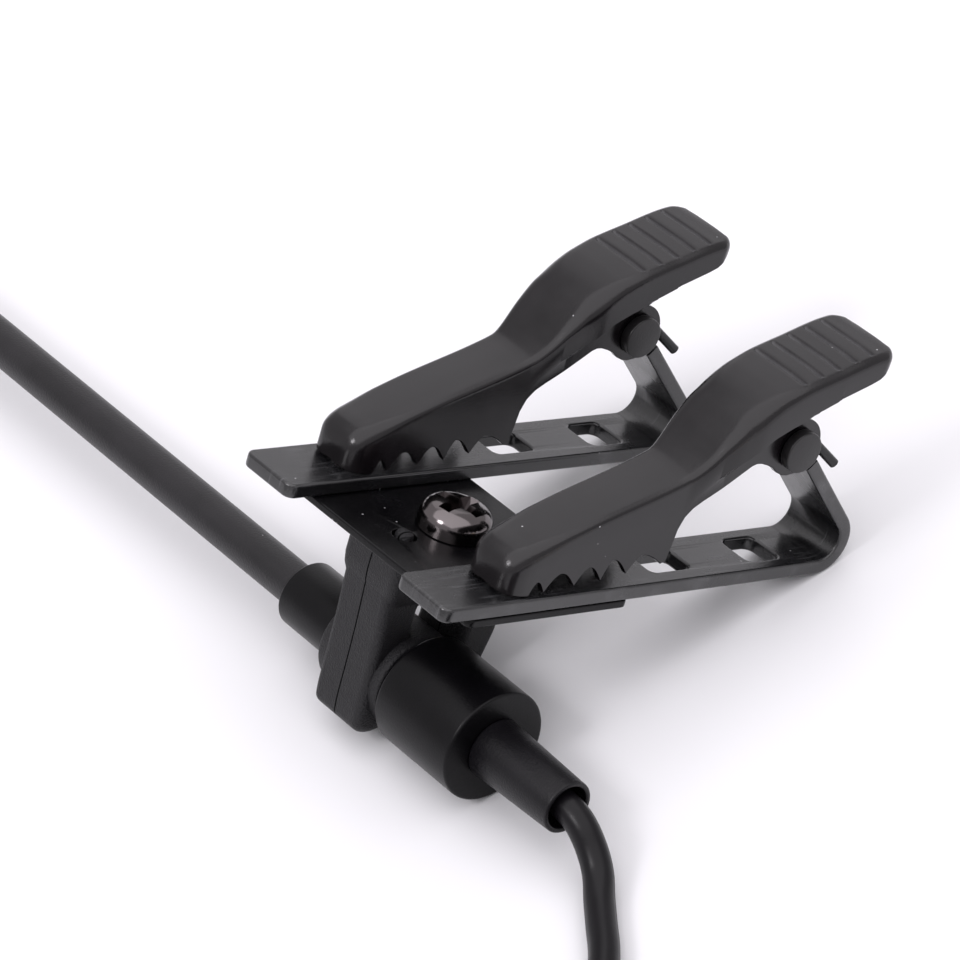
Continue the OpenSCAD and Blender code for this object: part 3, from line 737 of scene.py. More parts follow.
def smooth_path(points: list[Vector], steps: int) -> list[Vector]:
    """Runs a smooth curve through points.

    Args:
        points: The points.
        steps: The number of steps in each stretch.

    Returns:
        The curve's points.
    """
    out: list[Vector] = []
    for p0, p1, p2, p3 in zip([points[0], *points], points, points[1:], [*points[2:], points[-1]]):
        for k in range(steps):
            t = k / steps
            out.append(0.5 * ((2 * p1) + (p2 - p0) * t + (2 * p0 - 5 * p1 + 4 * p2 - p3) * t * t
                              + (3 * p1 - p0 - 3 * p2 + p3) * t ** 3))
    return [*out, points[-1]]


def lookup(y: float, line: Line) -> float:
    """Reads a value from a line of [position, value] points, straight between them.

    Args:
        y: The position.
        line: The points.

    Returns:
        The value; past an end it is the end's.
    """
    if y <= line[0][0]:
        return line[0][1]
    for (y0, v0), (y1, v1) in zip(line, line[1:]):
        if y <= y1:
            return v0 + (v1 - v0) * (y - y0) / (y1 - y0)
    return line[-1][1]


def slope_at(line: Line, k: int) -> float:
    """Finds the slope with which an eased line passes one of its points, level at each peak and dip.

    Args:
        line: The line's [position, value] points.
        k: The point's place in it.

    Returns:
        The slope.
    """
    pairs = zip(line[max(k - 1, 0):k + 1], line[max(k, 1):k + 2])
    rises = [(v1 - v0) / (y1 - y0) for (y0, v0), (y1, v1) in pairs]
    before, after = rises[0], rises[-1]
    if len(rises) == 1:
        return before
    return 0.0 if before * after <= 0 else 2 * before * after / (before + after)


def eased_lookup(y: float, line: Line) -> float:
    """Reads a value from a line of [position, value] points, eased between them without overshoot.

    Args:
        y: The position.
        line: The points.

    Returns:
        The value; past an end it is the end's.
    """
    y = min(max(y, line[0][0]), line[-1][0])
    i = next(k for k in range(len(line) - 1) if y <= line[k + 1][0])
    (y0, v0), (y1, v1) = line[i], line[i + 1]
    h, s = y1 - y0, (y - y0) / (y1 - y0)
    return (v0 * (1 + 2 * s) * (1 - s) ** 2 + slope_at(line, i) * h * s * (1 - s) ** 2
            + v1 * s * s * (3 - 2 * s) + slope_at(line, i + 1) * h * s * s * (s - 1))


def eased_step(t: float) -> float:
    """A smooth step from 0 to 1."""
    t = min(max(t, 0.0), 1.0)
    return t * t * (3 - 2 * t)


def dressed(made: Piece, body: str, slot: str, *nodes: str) -> Piece:
    """Sets a finished piece on its body.

    Args:
        made: The piece.
        body: The body that it rides on.
        slot: Not used.
        nodes: The solids that it stands for.

    Returns:
        The same piece.
    """
    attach(made, body)
    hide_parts(*nodes)
    return made


# ---------------- studio


@dataclass
class Studio:
    """Camera, lamps and floor."""

    azimuth: float = 57.529
    elevation: float = 41.744
    roll: float = -8.743
    distance: float = 331.19
    focal_px: float = 4881.4
    target: Point3 = (-5.63, 16.925, 0.0)
    ambient: float = 0.66
    tint: Point3 = (0.99, 0.965, 1.0)

    def camera(self) -> None:
        """Places the camera on its target, turned by the roll, and makes it the scene's."""
        a, e, r = (math.radians(v) for v in (self.azimuth, self.elevation, self.roll))
        back = Vector((math.sin(a) * math.cos(e), -math.cos(a) * math.cos(e), math.sin(e)))
        right = Vector((math.cos(a), math.sin(a), 0.0))
        up = Vector((-math.sin(a) * math.sin(e), math.cos(a) * math.sin(e), math.cos(e)))
        right, up = right * math.cos(r) + up * math.sin(r), -right * math.sin(r) + up * math.cos(r)
        data = bpy.data.cameras.new("camera")
        data.sensor_width = 36.0
        data.lens = data.sensor_width * self.focal_px / 960.0
        data.clip_start, data.clip_end = 0.01, 20.0
        made = linked("camera", data)
        turn = Matrix((right, up, back)).transposed().to_4x4()
        made.matrix_world = Matrix.Translation(PLACE.clips(*self.target) + back * self.distance * MM) @ turn
        bpy.context.scene.camera = made

    def floor(self) -> None:
        """Lays a plain pale floor just under the table top."""
        shape = bmesh.new()
        bmesh.ops.create_grid(shape, x_segments=1, y_segments=1, size=1.5)
        made = linked("floor", plain_mesh("floor", shape))
        made.data.materials.append(FLOOR_WHITE.material())
        made.location = (0, 0, -0.00002)

    def lamp(self, name: str, place: Point3, size: float, power: float) -> None:
        """Hangs a square softbox that faces the clips.

        Args:
            name: The lamp's name.
            place: Where it hangs, in metres.
            size: Its side in metres.
            power: Its power in watts.
        """
        data = bpy.data.lights.new(name, "AREA")
        data.shape, data.size, data.energy, data.color = "SQUARE", size, power, self.tint
        spot = Vector(place)
        turn = (spot - Vector((0.04, 0.0, 0.0))).to_track_quat("Z", "Y").to_matrix().to_4x4()
        linked(name, data).matrix_world = Matrix.Translation(spot) @ turn

    def build(self) -> None:
        """Sets up camera, floor, a soft light from above, a fill from behind and a small front lamp."""
        self.camera()
        self.floor()
        world = bpy.data.worlds.new("studio")
        world.use_nodes = True
        sky = world.node_tree.nodes["Background"]
        Graph(world.node_tree).feed(sky, {"Color": (*self.tint, 1.0), "Strength": self.ambient})
        bpy.context.scene.world = world
        bpy.context.scene.view_settings.view_transform = "Standard"
        self.lamp("overhead", (0.18, 0.0, 1.0), 1.8, 11.4)
        self.lamp("key", (-0.65, 0.62, 0.58), 0.7, 0.7)
        self.lamp("front", (0.05, -0.60, 0.68), 0.22, 2.1)


# ---------------- clips


@dataclass
class Clip:
    """One sprung clip: lower strip, upper jaw, rivet and spring, in the clip frame and in millimetres."""

    side: Side
    strip_width: float = 5.2
    strip_thickness: float = 1.04
    strip_edge: float = 0.2
    strip_r: float = 0.75
    strip_nose: float = 4.0
    windows: tuple[tuple[Point2, Point2, float], ...] = (((19.3, -1.25), (22.9, 1.25), 0.5),
                                                         ((28.1, -1.5), (31.1, 1.5), 0.6))
    heel_y: float = 33.75
    heel_r: float = 2.45
    heel_folds: int = 24
    tab_angle: float = 45.7
    tab_length: float = 9.78
    tab_half: float = 1.8
    tab_narrow: float = 2.3
    tab_slant: float = 0.35
    slot_half: float = 1.2
    slot_length: float = 2.6
    slot_r: float = 0.4
    eye_gap: float = 0.95
    eye_r: float = 1.5
    eye_edge: float = 0.08
    ear_r: float = 2.15
    pivot: Point2 = (27.8, 10.35)
    sheet: float = 0.5
    nose_wall: float = 0.55
    rim_edge: float = 0.06
    rivet_r: float = 0.75
    rivet_fit: float = 0.02
    rivet_edge: float = 0.1
    rivet_head_r: float = 1.5
    rivet_head: Point2 = (2.67, 3.42)
    wire: float = 0.7
    coil_steps: int = 60
    leg_steps: int = 10
    coil_half: float = 0.689
    coil_r: float = 1.45
    coil_span: Point2 = (51.9, 704.94)
    tab_leg: float = 4.7
    tab_leg_drift: float = 0.34
    pad_leg: float = 5.7
    grooves: int = 5
    groove_y: float = 26.75
    groove_pitch: float = 1.39
    groove_depth: float = 0.18
    groove_half: float = 0.22
    jaw_start: float = 5.15
    jaw_end: float = 34.33
    top: Line = (
        (5.15, 2.4), (5.21, 2.95), (5.35, 3.35), (5.6, 3.7), (6.05, 4.05), (7.2, 4.5), (12, 6.2),
        (18, 8.22), (19.2, 8.75), (20, 9.5), (20.6, 10.3), (21.1, 11.05), (21.7, 11.85), (22.2, 12.5),
        (22.8, 13.1), (23.5, 13.65), (24.2, 14.1), (25, 14.52), (29, 15.91), (33.7, 17.2), (34.15, 17.22),
        (34.33, 16.98))
    teeth: Line = ((7.2, 1.06), (7.75, 2.05), (8.5, 1.25), (9.7, 2.5), (11.1, 1.45), (12.1, 2.7),
                   (13.4, 1.6), (14.1, 3.05), (15.6, 1.9), (16.7, 3.15), (18.6, 2.3))
    rear: Line = (
        (18.95, 2.5), (19.1, 3.6), (19.2, 4.8), (19.5, 5.7), (20.0, 6.35), (20.7, 6.9), (22.3, 8),
        (24.1, 9.2), (24.55, 9.36), (25, 9.35), (25.6, 9.18), (26.2, 8.93), (26.66, 8.55), (27.3, 8.28),
        (27.8, 8.22), (28.4, 8.31), (29, 8.6), (29.5, 9.1), (29.8, 9.7), (29.93, 10.35), (29.97, 14.08),
        (32.4, 14.98), (33.1, 15.3), (33.5, 15.65), (33.8, 16.1), (34.0, 16.45), (34.35, 16.6))
    notch: Line = ((28.1, 13.1), (28.25, 13.32), (28.5, 13.42), (30.3, 14.2), (30.3, 10.35))
    nose_half: Line = ((5.15, 0.95), (5.21, 1.3), (5.35, 1.6), (5.6, 1.87), (6.05, 2.1), (6.8, 2.23),
                       (7.4, 2.25), (19, 2.29))
    tail_half: Line = ((33.35, 3.22), (33.75, 3.08), (34.1, 2.8), (34.35, 2.32))
    half_width: Line = (*nose_half, (21, 2.75), (22.5, 3.08), (24, 3.22), *tail_half)
    flange_half: Line = (*nose_half, (22.5, 2.55), (29.93, 2.55), (29.97, 3.22), *tail_half)
    step_low: Line = ((5.15, 0.3), (24.1, 0.3), (27.8, 0.62), (29.93, 0.62), (29.97, 0.3))
    step_high: Line = ((5.15, 0.6), (24.1, 0.5), (27.8, 0.74), (29.93, 0.74), (29.97, 0.6))
    shoulder: Line = ((5.15, 0.6), (6.05, 1.1), (7.2, 1.0), (9.5, 0.62), (12, 0.5), (20, 0.52), (21.5, 0.85),
                      (23, 1.35), (25, 1.0), (27, 0.7), (34.35, 0.6))

    @property
    def flange(self) -> Line:
        """The flanges' lower edge: gullets between sharp teeth, then throat, ear and pad rim.

        Returns:
            Its points along the clip.
        """
        line = [(self.jaw_start, 1.3), (5.6, 1.2)]
        for i, ((y0, z0), (y1, z1)) in enumerate(zip(self.teeth, self.teeth[1:])):
            for k in range(6):
                a = k / 6 * math.pi / 2
                share = math.sin(a) if i % 2 == 0 else 1 - math.cos(a)
                line.append((y0 + (y1 - y0) * (k / 6), z0 + (z1 - z0) * share))
        return (*line, self.teeth[-1], *self.rear)

    def at(self, x: float, y: float, z: float) -> Vector:
        """A point of this clip, x from its middle plane, in the row frame."""
        return PLACE.clips(self.side.centre + x, y, z)

    def round_pivot(self, x: float, y: float, z: float) -> Vector:
        """A point given from the pivot, in the row frame."""
        return self.at(x, self.pivot[0] + y, self.pivot[1] + z)

    def strip(self) -> Piece:
        """Folds the lower jaw's strip from a flat blank and turns its two eyes.

        Returns:
            The piece.
        """
        mid, bend = self.heel_r - self.strip_thickness / 2, math.radians(90 + self.tab_angle)
        arc = mid * bend
        half, tab, r = self.strip_width / 2, self.tab_half, self.slot_r
        pivot_u = self.heel_y + arc + self.tab_length
        full, end, slot = pivot_u - self.tab_narrow, pivot_u - self.eye_gap, pivot_u - self.slot_length
        turns = [math.radians(a) for a in range(0, 91, 18)]
        nose = rounded_box((0.0, -half), (2 * self.strip_nose, half), self.strip_r)
        blank = [p for p in nose if p[0] < self.strip_nose]
        blank += [(full - self.tab_slant, -half), (full, -tab), (end, -tab), (end, -self.slot_half)]
        blank += [(slot + r - r * math.sin(a), -self.slot_half + r - r * math.cos(a)) for a in turns]
        blank += [(slot + r - r * math.cos(a), self.slot_half - r + r * math.sin(a)) for a in turns]
        blank += [(end, self.slot_half), (end, tab), (full, tab), (full - self.tab_slant, half)]
        shape = sheet([blank, *(rounded_box(*window) for window in self.windows)], self.strip_thickness,
                      self.strip_edge, 3)
        for k in range(self.heel_folds + 1):
            geometry = shape.verts[:] + shape.edges[:] + shape.faces[:]
            bmesh.ops.bisect_plane(shape, geom=geometry, dist=1e-5, plane_no=(1, 0, 0),
                                   plane_co=(self.heel_y + arc * k / self.heel_folds, 0, 0))

        def fold(u: float, v: float, w: float) -> Vector:
            """Carries a point of the flat blank to its place on the folded strip.

            Args:
                u: How far along the blank the point lies.
                v: How far it lies from the blank's middle line.
                w: Its height above the sheet's middle plane.

            Returns:
                The point in the row frame.
            """
            if u <= self.heel_y:
                return self.at(v, u, self.strip_thickness / 2 + w)
            a = min((u - self.heel_y) / mid, bend) - math.pi / 2
            past, lean = max(0.0, u - self.heel_y - arc), math.radians(self.tab_angle)
            return self.at(v, self.heel_y + (mid - w) * math.cos(a) - past * math.sin(lean),
                           self.heel_r + (mid - w) * math.sin(a) + past * math.cos(lean))

        placed(shape, fold)
        for sign in (-1, 1):
            low, high, e = sign * self.slot_half, sign * tab, self.eye_edge
            inner = self.rivet_r + self.rivet_fit
            turned([[(low, inner), (low, self.eye_r - e), (low + sign * e, self.eye_r),
                     (high - sign * e, self.eye_r), (high, self.eye_r - e), (high, inner)]],
                   self.round_pivot, 48, shape)
        made = to_piece(f"{self.side.word}_strip", shape, STRIP_COAT)
        return dressed(weighted(made), "clip", "black_steel", f"{self.side.word}_lower_jaw")

    def _ring_at(self, y: float) -> list[Vector]:
        """Draws the upper jaw's folded section at one station along the clip.

        Args:
            y: The station.

        Returns:
            The section's points in the row frame.
        """
        w, f = eased_lookup(y, self.half_width), eased_lookup(y, self.flange_half)
        r, top, low = eased_lookup(y, self.shoulder), eased_lookup(y, self.top), lookup(y, self.flange)
        low_share, high_share = lookup(y, self.step_low), lookup(y, self.step_high)
        slope = math.atan2(eased_lookup(y + 0.1, self.top) - eased_lookup(y - 0.1, self.top), 0.2)
        solid = y < self.jaw_start + self.nose_wall
        roof = low + 0.1 if solid else top - min(self.sheet / math.cos(slope), top - low - 0.15)
        rim, brow = max(low + 0.1, top - r), max(low + 0.05, roof - 0.5)
        groove, e = self._groove(y), self.rim_edge
        half = [(f - e, low), (f, low + e), (f, low + low_share * (rim - low)),
                (w, low + high_share * (rim - low))]
        for k in range(9):
            a = math.radians(11.25 * k)
            half.append((w - r * (1 - math.cos(a)), rim + (top - rim) * math.sin(a)))
        half[-1] = (half[-1][0], top - 0.6 * groove)
        half += [(w - r - 0.2, top - groove), ((w - r) * 0.45, top + 0.02 * (w - r) - groove)]
        inner_w, inner_f = w - self.sheet, f - self.sheet
        inner = [(inner_w - 0.5, roof), (inner_w, brow), (inner_w, low + high_share * (brow - low)),
                 (inner_f, low + low_share * (brow - low)), (inner_f, low + e), (inner_f + e, low)]
        points = [(-x, z) for x, z in half] + half[::-1] + inner[::-1] + [(-x, z) for x, z in inner]
        return [self.at(x, y, z) for x, z in points]

    def _groove(self, y: float) -> float:
        """Finds the depth of the thumb pad's cross grooves at a station.

        Args:
            y: The station.

        Returns:
            The depth.
        """
        for i in range(self.grooves):
            d = abs(y - self.groove_y - self.groove_pitch * i) / self.groove_half
            if d < 1:
                return self.groove_depth * (math.cos(math.pi * d) + 1) / 2
        return 0.0

    def jaw(self) -> Piece:
        """Folds the upper jaw: nose, teeth, shoulders, ears and grooved thumb pad.

        Returns:
            The piece; an attribute set in the grooves tells the finish where to paint a highlight.
        """
        stations = {round(self.jaw_start + 0.2 * k, 3) for k in range(145)}
        stations |= {round(y, 3) for line in (self.top, self.flange, self.half_width) for y, _ in line}
        stations |= {round(self.groove_y + self.groove_pitch * i + self.groove_half * k / 3, 3)
                     for i in range(self.grooves) for k in range(-3, 4)}
        kept = [self.jaw_start]
        for y in sorted(stations):
            if y - kept[-1] > 0.03 and y <= self.jaw_end:
                kept.append(y)
        rings = [self._ring_at(y) for y in kept]
        shape = ringed(rings)
        # Marks the groove vertices where the finish paints a highlight.
        layer = shape.verts.layers.float.new("worn")
        for i, vert in enumerate(shape.verts):
            row, place = divmod(i, len(rings[0]))
            if 12 <= place <= 17:
                vert[layer] = (self._groove(kept[row]) / self.groove_depth) ** 2
        made = to_piece(f"{self.side.word}_jaw", shape, JAW_COAT, 38.0)
        ear = [arm(self.ear_r, math.radians(a)) for a in range(0, 81, 8)]
        notch = [(self.pivot[0] + y, self.pivot[1] + z) for y, z in ear] + [*self.notch]
        near, shift = [self.at(-6.0, y, z) for y, z in notch], self.at(6.0, 0, 0) - self.at(-6.0, 0, 0)
        carve(made, ringed([near, [p + shift for p in near]]))
        body, node = f"{self.side.word}_jaw", f"{self.side.word}_upper_jaw"
        return dressed(weighted(made), body, "black_steel", node)

    def rivet(self) -> Piece:
        """Turns the pivot rivet with its two flat heads.

        Returns:
            The piece.
        """
        (low, high), r, head_r = self.rivet_head, self.rivet_r, self.rivet_head_r
        profile = eased([(-high, 0.0), (-high, head_r), (-low, head_r), (-low, r), (low, r), (low, head_r),
                         (high, head_r), (high, 0.0)], self.rivet_edge, 3)
        made = lathe(f"{self.side.word}_rivet", [profile], self.round_pivot, RIVET_COAT, 64)
        return dressed(made, "clip", "rivet_steel", f"{self.side.word}_pivot_rivet")

    def spring(self) -> Piece:
        """Winds the jaw spring round the rivet: tab leg, coils, pad leg.

        Returns:
            The piece.
        """
        half, r, coils, legs = self.coil_half, self.coil_r, self.coil_steps, self.leg_steps
        a, b = (math.radians(v) for v in self.coil_span)
        start = Vector((half, *arm(r, a)))
        leave = Vector((self.tab_leg_drift, math.sin(a), -math.cos(a)))
        path = [start + leave * self.tab_leg * (1 - k / legs) for k in range(legs)]
        path += [Vector((half - 2 * half * i / coils, *arm(r, a + (b - a) * i / coils)))
                 for i in range(coils + 1)]
        rise = Vector((0.0, -math.sin(b), math.cos(b)))
        path += [path[-1] + rise * self.pad_leg * k / legs for k in range(1, legs + 1)]
        points = [self.round_pivot(*p) for p in path]
        made = PathSweep().tube(f"{self.side.word}_spring", points, self.wire / 2, 20, SPRING_WIRE)
        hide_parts(f"{self.side.word}_jaw_spring")
        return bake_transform(made, "clip", f"{self.side.word}_jaw", start=self.round_pivot(half - 0.1, 0, 0),
                        end=self.round_pivot(-half + 0.1, 0, 0))

    def build(self) -> list[Piece]:
        """Makes every piece of the clip."""
        return [self.strip(), self.jaw(), self.rivet(), self.spring()]


# ---------------- plate, screw and holder


@dataclass
class Bridge:
    """What joins the clips and carries the microphone, in the clip frame: plate, screw and holder."""

    plate_half: float = 10.95
    plate_span: Point2 = (2.3, 16.35)
    plate_thickness: float = 0.53
    plate_r: float = 0.5
    plate_edge: float = 0.1
    screw_fit: float = 0.1
    peg_fit: float = 0.2
    screw_y: float = 9.8
    screw_r: float = 1.25
    screw_length: float = 5.4
    head_r: float = 2.55
    head_h: float = 2.0
    rim_h: float = 0.7
    recess: tuple[Point3, Point3] = ((0.3, 2.1, 0.55), (-1.2, 0.9, 0.2))
    recess_turn: float = 12.0
    peg_y: float = 5.6
    peg_r: float = 0.65
    holder_x: float = 0.15
    holder_half: float = 2.45
    holder_edge: float = 0.6
    outline_r: float = 0.6
    window_r: float = 0.4
    hub_edge: float = 0.3
    cap_half: float = 2.85
    cap_r: float = 0.7
    cap_span: Point2 = (3.0, 14.0)
    cap_rings: Line = ((-0.53, -0.08), (-0.65, 0.0), (-2.2, 0.0), (-2.9, -0.08), (-3.6, -0.3), (-4.0, -0.5))
    hub_r: float = 3.5
    hub_half: float = 3.25
    neck_r: float = 2.45
    neck_fit: float = 0.02
    mic: Point2 = (7.3, -9.66)
    outline: Line = (
        (3.74, -13.2), (3.6, -12.1), (3.52, -9.26), (3.41, -6.57), (3.21, -3.89), (2.96, -0.6), (14.0, -0.6),
        (14.1, -6.7), (13.5, -9.4), (12.6, -10.1), (11.2, -9.8), (10.0, -9.66), (7.0, -12.96), (6.2, -13.41),
        (5.1, -13.76), (4.2, -13.61))
    window: Line = ((6.3, -4.0), (11.1, -4.0), (11.1, -8.06), (10.2, -7.26), (6.3, -6.21))

    def plate(self) -> Piece:
        """Cuts the plate under the strips.

        Returns:
            The piece.
        """
        (back, front), half = self.plate_span, self.plate_half
        shape = sheet([rounded_box((-half, back), (half, front), self.plate_r),
                       round_hole(0, self.screw_y, self.screw_r + self.screw_fit),
                       round_hole(0, self.peg_y, self.peg_r + self.peg_fit)],
                      self.plate_thickness, self.plate_edge, 2)
        placed(shape, lambda x, y, z: PLACE.clips(x, y, z - self.plate_thickness / 2))
        return dressed(weighted(to_piece("plate", shape, PLATE_COAT)), "clip", "black_steel", "cross_plate")

    def screw(self) -> Piece:
        """Turns the pan-head screw and sinks its cross recess.

        Returns:
            The piece.
        """
        r, head_r, rim, top, end = self.screw_r, self.head_r, self.rim_h, self.head_h, -self.screw_length
        domed = [(rim + (top - rim) * math.sin(math.radians(a)),
                  head_r * (0.35 + 0.65 * math.cos(math.radians(a)) ** 0.7)) for a in range(9, 82, 9)]
        profile = [(end, 0.0), (end, r - 0.2), (end + 0.2, r), (0.0, r), (0.0, head_r - 0.08),
                   (0.08, head_r), (rim, head_r), *domed, (top, 0.55), (top, 0.0)]
        made = lathe("screw", [profile], lambda z, x, y: PLACE.clips(x, self.screw_y + y, z),
                     BLACK_NICKEL, 72)
        for quarter in (0, 1):
            a = math.radians(self.recess_turn) + quarter * math.pi / 2
            c, s = math.cos(a), math.sin(a)
            carve(made, ringed([[PLACE.clips(x * c - y * s, self.screw_y + x * s + y * c, top + z)
                                 for x, y in ((u, v), (-u, v), (-u, -v), (u, -v))]
                                for z, u, v in self.recess]))
        return dressed(weighted(made), "clip", "black_nickel", "clamp_screw")

    def holder(self) -> Piece:
        """Moulds the holder: body with its window, flared cap, hub round the neck, and peg.

        Returns:
            The piece.
        """
        middle, (mic_y, mic_z) = self.holder_x, self.mic
        shape = sheet([eased(self.outline, self.outline_r, 4, False),
                       eased(self.window, self.window_r, 3, False)],
                      2 * self.holder_half, self.holder_edge, 5)
        placed(shape, lambda y, z, x: PLACE.clips(middle + x, y, z))
        made = to_piece("holder", shape, HOLDER_PLASTIC, 30.0)
        half, bore_r, peg_r = self.hub_half, self.neck_r + self.neck_fit, self.peg_r
        hub = eased([(-half, 0.0), (-half, self.hub_r), (half, self.hub_r), (half, 0.0)], self.hub_edge)
        carve(made, turned([hub], lambda x, y, z: PLACE.clips(middle + x, mic_y + y, mic_z + z)), True)
        cap = []
        for z, grow in self.cap_rings:
            wide = self.cap_half + grow
            corners = rounded_box((-wide, self.cap_span[0] - grow), (wide, self.cap_span[1] + grow),
                                  self.cap_r)
            cap.append([PLACE.clips(middle + x, y, z) for x, y in corners])
        carve(made, ringed(cap), True)
        carve(made, turned([[(-8.0, 0.0), (-8.0, bore_r), (8.0, bore_r), (8.0, 0.0)]],
                           lambda x, y, z: PLACE.clips(x, mic_y + y, mic_z + z)))
        dome = [(-0.8, 0.0), (-0.8, peg_r), (0.0, peg_r), (0.18, peg_r * 0.85), (0.28, peg_r * 0.5),
                (0.3, 0.0)]
        carve(made, turned([dome], lambda z, x, y: PLACE.clips(x, self.peg_y + y, z), 40), True)
        return dressed(weighted(made), "clip", "holder_plastic", "mic_holder")

    def build(self) -> list[Piece]:
        """Makes the plate, the screw and the holder."""
        return [self.plate(), self.screw(), self.holder()]


# ---------------- microphone


@dataclass
class Microphone:
    """What turns in the holder, along its own axis: barrel, neck, cable boot, bendable boom and capsule."""

    barrel: Point2 = (3.95, 11.55)
    barrel_r: float = 4.05
    barrel_edge: float = 0.22
    wall: float = 0.7
    end_wall: float = 0.9
    entry_r: float = 1.6
    wire_way_r: float = 0.7
    neck: Point2 = (-8.95, 5.55)
    neck_r: float = 2.45
    neck_edge: float = 0.16
    boom_r: float = 1.55
    core_r: float = 1.1
    boom_length: float = 78.0
    boom_steps: int = 80
    socket: float = 4.6
    boot_length: float = 7.7
    boot_base_r: float = 2.15
    boot_end_r: float = 1.9
    boot_edge: float = 0.16
    boot_flange: Point2 = (1.7, 2.6)
    boot_mouth: float = 2.0
    boot_mouth_r: Point2 = (1.55, 1.5)
    cable_r: float = 1.05
    capsule_length: float = 13.0
    capsule_edge: float = 0.2
    capsule_socket: float = 3.0
    capsule_room: float = 5.2
    capsule_base_r: float = 2.4
    capsule_cone: Point2 = (1.5, 4.0)
    ring_groove: Point2 = (6.0, 6.35)
    ring_slope: float = 0.05
    ring_depth: float = 0.12
    bend_reach: float = 7.0
    grille_hole_r: float = 0.32
    grille_pitch: float = 1.15
    grille_rings: int = 3
    grille_thickness: float = 0.5
    grille_depth: float = 1.05
    fit: float = 0.02

    def _turn(self, name: str, node: str, outline: list[Point2], edge: float, steps: int,
              finish: Finish, slot: str) -> Piece:
        """Turns one piece round the microphone's axis.

        Args:
            name: The piece's name.
            node: The solid that it stands for.
            outline: Its profile.
            edge: How far its corners are rounded.
            steps: The number of steps round the axis.
            finish: The finish that dresses it.
            slot: Its material slot.

        Returns:
            The piece.
        """
        made = lathe(name, [eased(outline, edge)], PLACE.axis, finish, steps)
        return dressed(made, "microphone", slot, node)

    def shell(self) -> Piece:
        """Turns the barrel with its two end walls.

        Returns:
            The piece.
        """
        (back, front), r = self.barrel, self.barrel_r
        room, neck, entry, wall = r - self.wall, self.neck_r + self.fit, self.entry_r, self.end_wall
        return self._turn("barrel", "mic_barrel", [
            (back, neck), (back, r), (front, r), (front, entry), (front - wall, entry), (front - wall, room),
            (back + wall, room), (back + wall, neck)],
            self.barrel_edge, 128, BARREL_COAT, "black_aluminium")

    def collar(self) -> Piece:
        """Turns the neck tube with the socket for the boom.

        Returns:
            The piece.
        """
        (front, back), r, boom = self.neck, self.neck_r, self.boom_r + self.fit
        seat, way = front + self.socket, self.wire_way_r
        return self._turn("neck", "neck_tube", [
            (front, boom), (front, r), (back, r), (back, way), (seat, way), (seat, boom)],
            self.neck_edge, 96, BARREL_COAT, "black_aluminium")

    def boot(self) -> Piece:
        """Moulds the strain-relief boot with its hollow end.

        Returns:
            The piece.
        """
        base, end, hole = self.barrel[1], self.barrel[1] + self.boot_length, self.cable_r + self.fit
        (reach, flange_r), (rim_r, seat_r), neck_r = self.boot_flange, self.boot_mouth_r, self.entry_r
        inside, seat = base - self.end_wall, end - self.boot_mouth
        return self._turn("boot", "strain_relief_boot", [
            (base - reach, hole), (base - reach, flange_r), (inside, flange_r), (inside, neck_r),
            (base, neck_r), (base, self.boot_base_r), (end, self.boot_end_r), (end, rim_r),
            (seat, seat_r), (seat, hole)],
            self.boot_edge, 96, BOOT_RUBBER, "boot_rubber")

    def boom(self) -> list[Piece]:
        """Draws the sleeve and its core in two lengths.

        Returns:
            The pieces, a sleeve and a core for each length.
        """
        start = self.neck[0] + self.socket
        end = self.neck[0] - self.boom_length - self.capsule_socket
        bends = [self.neck[0] - self.boom_length * k / 3 for k in (1, 2)]
        middle = (bends[0] + bends[1]) / 2
        lengths = ((start, middle, bends[0], ("microphone", "boom_middle"), ("inner", "middle")),
                   (middle, end, bends[1], ("boom_middle", "boom_outer"), ("outer",)))
        layers = (("sleeve", self.boom_r, BOOM_SLEEVE, "sleeve_rubber"),
                  ("core", self.core_r, CORE_STEEL, "core_steel"))
        made = []
        for k, (near, far, bend, bodies, parts) in enumerate(lengths):
            for name, r, finish, slot in layers:
                path = [PLACE.axis(near + (far - near) * i / self.boom_steps, 0, 0)
                        for i in range(self.boom_steps + 1)]
                piece = PathSweep().tube(f"boom_{name}_{k + 1}", path, r, 40, finish)
                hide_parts(*(f"boom_{name}_{part}" for part in parts))
                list(bodies)
                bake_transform(piece)
                made.append(piece)
        return made

    def _outward(self, x: float, y: float, z: float) -> Vector:
        """A point given from the capsule's back, outwards along the boom."""
        return PLACE.axis(self.neck[0] - self.boom_length - x, y, z)

    def capsule(self) -> Piece:
        """Turns the capsule's housing, with its ring groove.

        Returns:
            The piece.
        """
        r, length, base, way = self.barrel_r, self.capsule_length, self.capsule_base_r, self.wire_way_r
        room, boom, back, seat = r - self.wall, self.boom_r + self.fit, self.capsule_room, self.capsule_socket
        (cone, full), (low, high), slope = self.capsule_cone, self.ring_groove, self.ring_slope
        waist = r - self.ring_depth
        outline = [(0.0, boom), (0.0, base), (cone, base), (full, r), (low, r), (low + slope, waist),
                   (high - slope, waist), (high, r), (length, r), (length, room), (back, room), (back, way),
                   (seat, way), (seat, boom)]
        made = lathe("capsule", [eased(outline, self.capsule_edge)], self._outward, BARREL_COAT, 128)
        return dressed(made, "boom_outer", "black_aluminium", "capsule_housing")

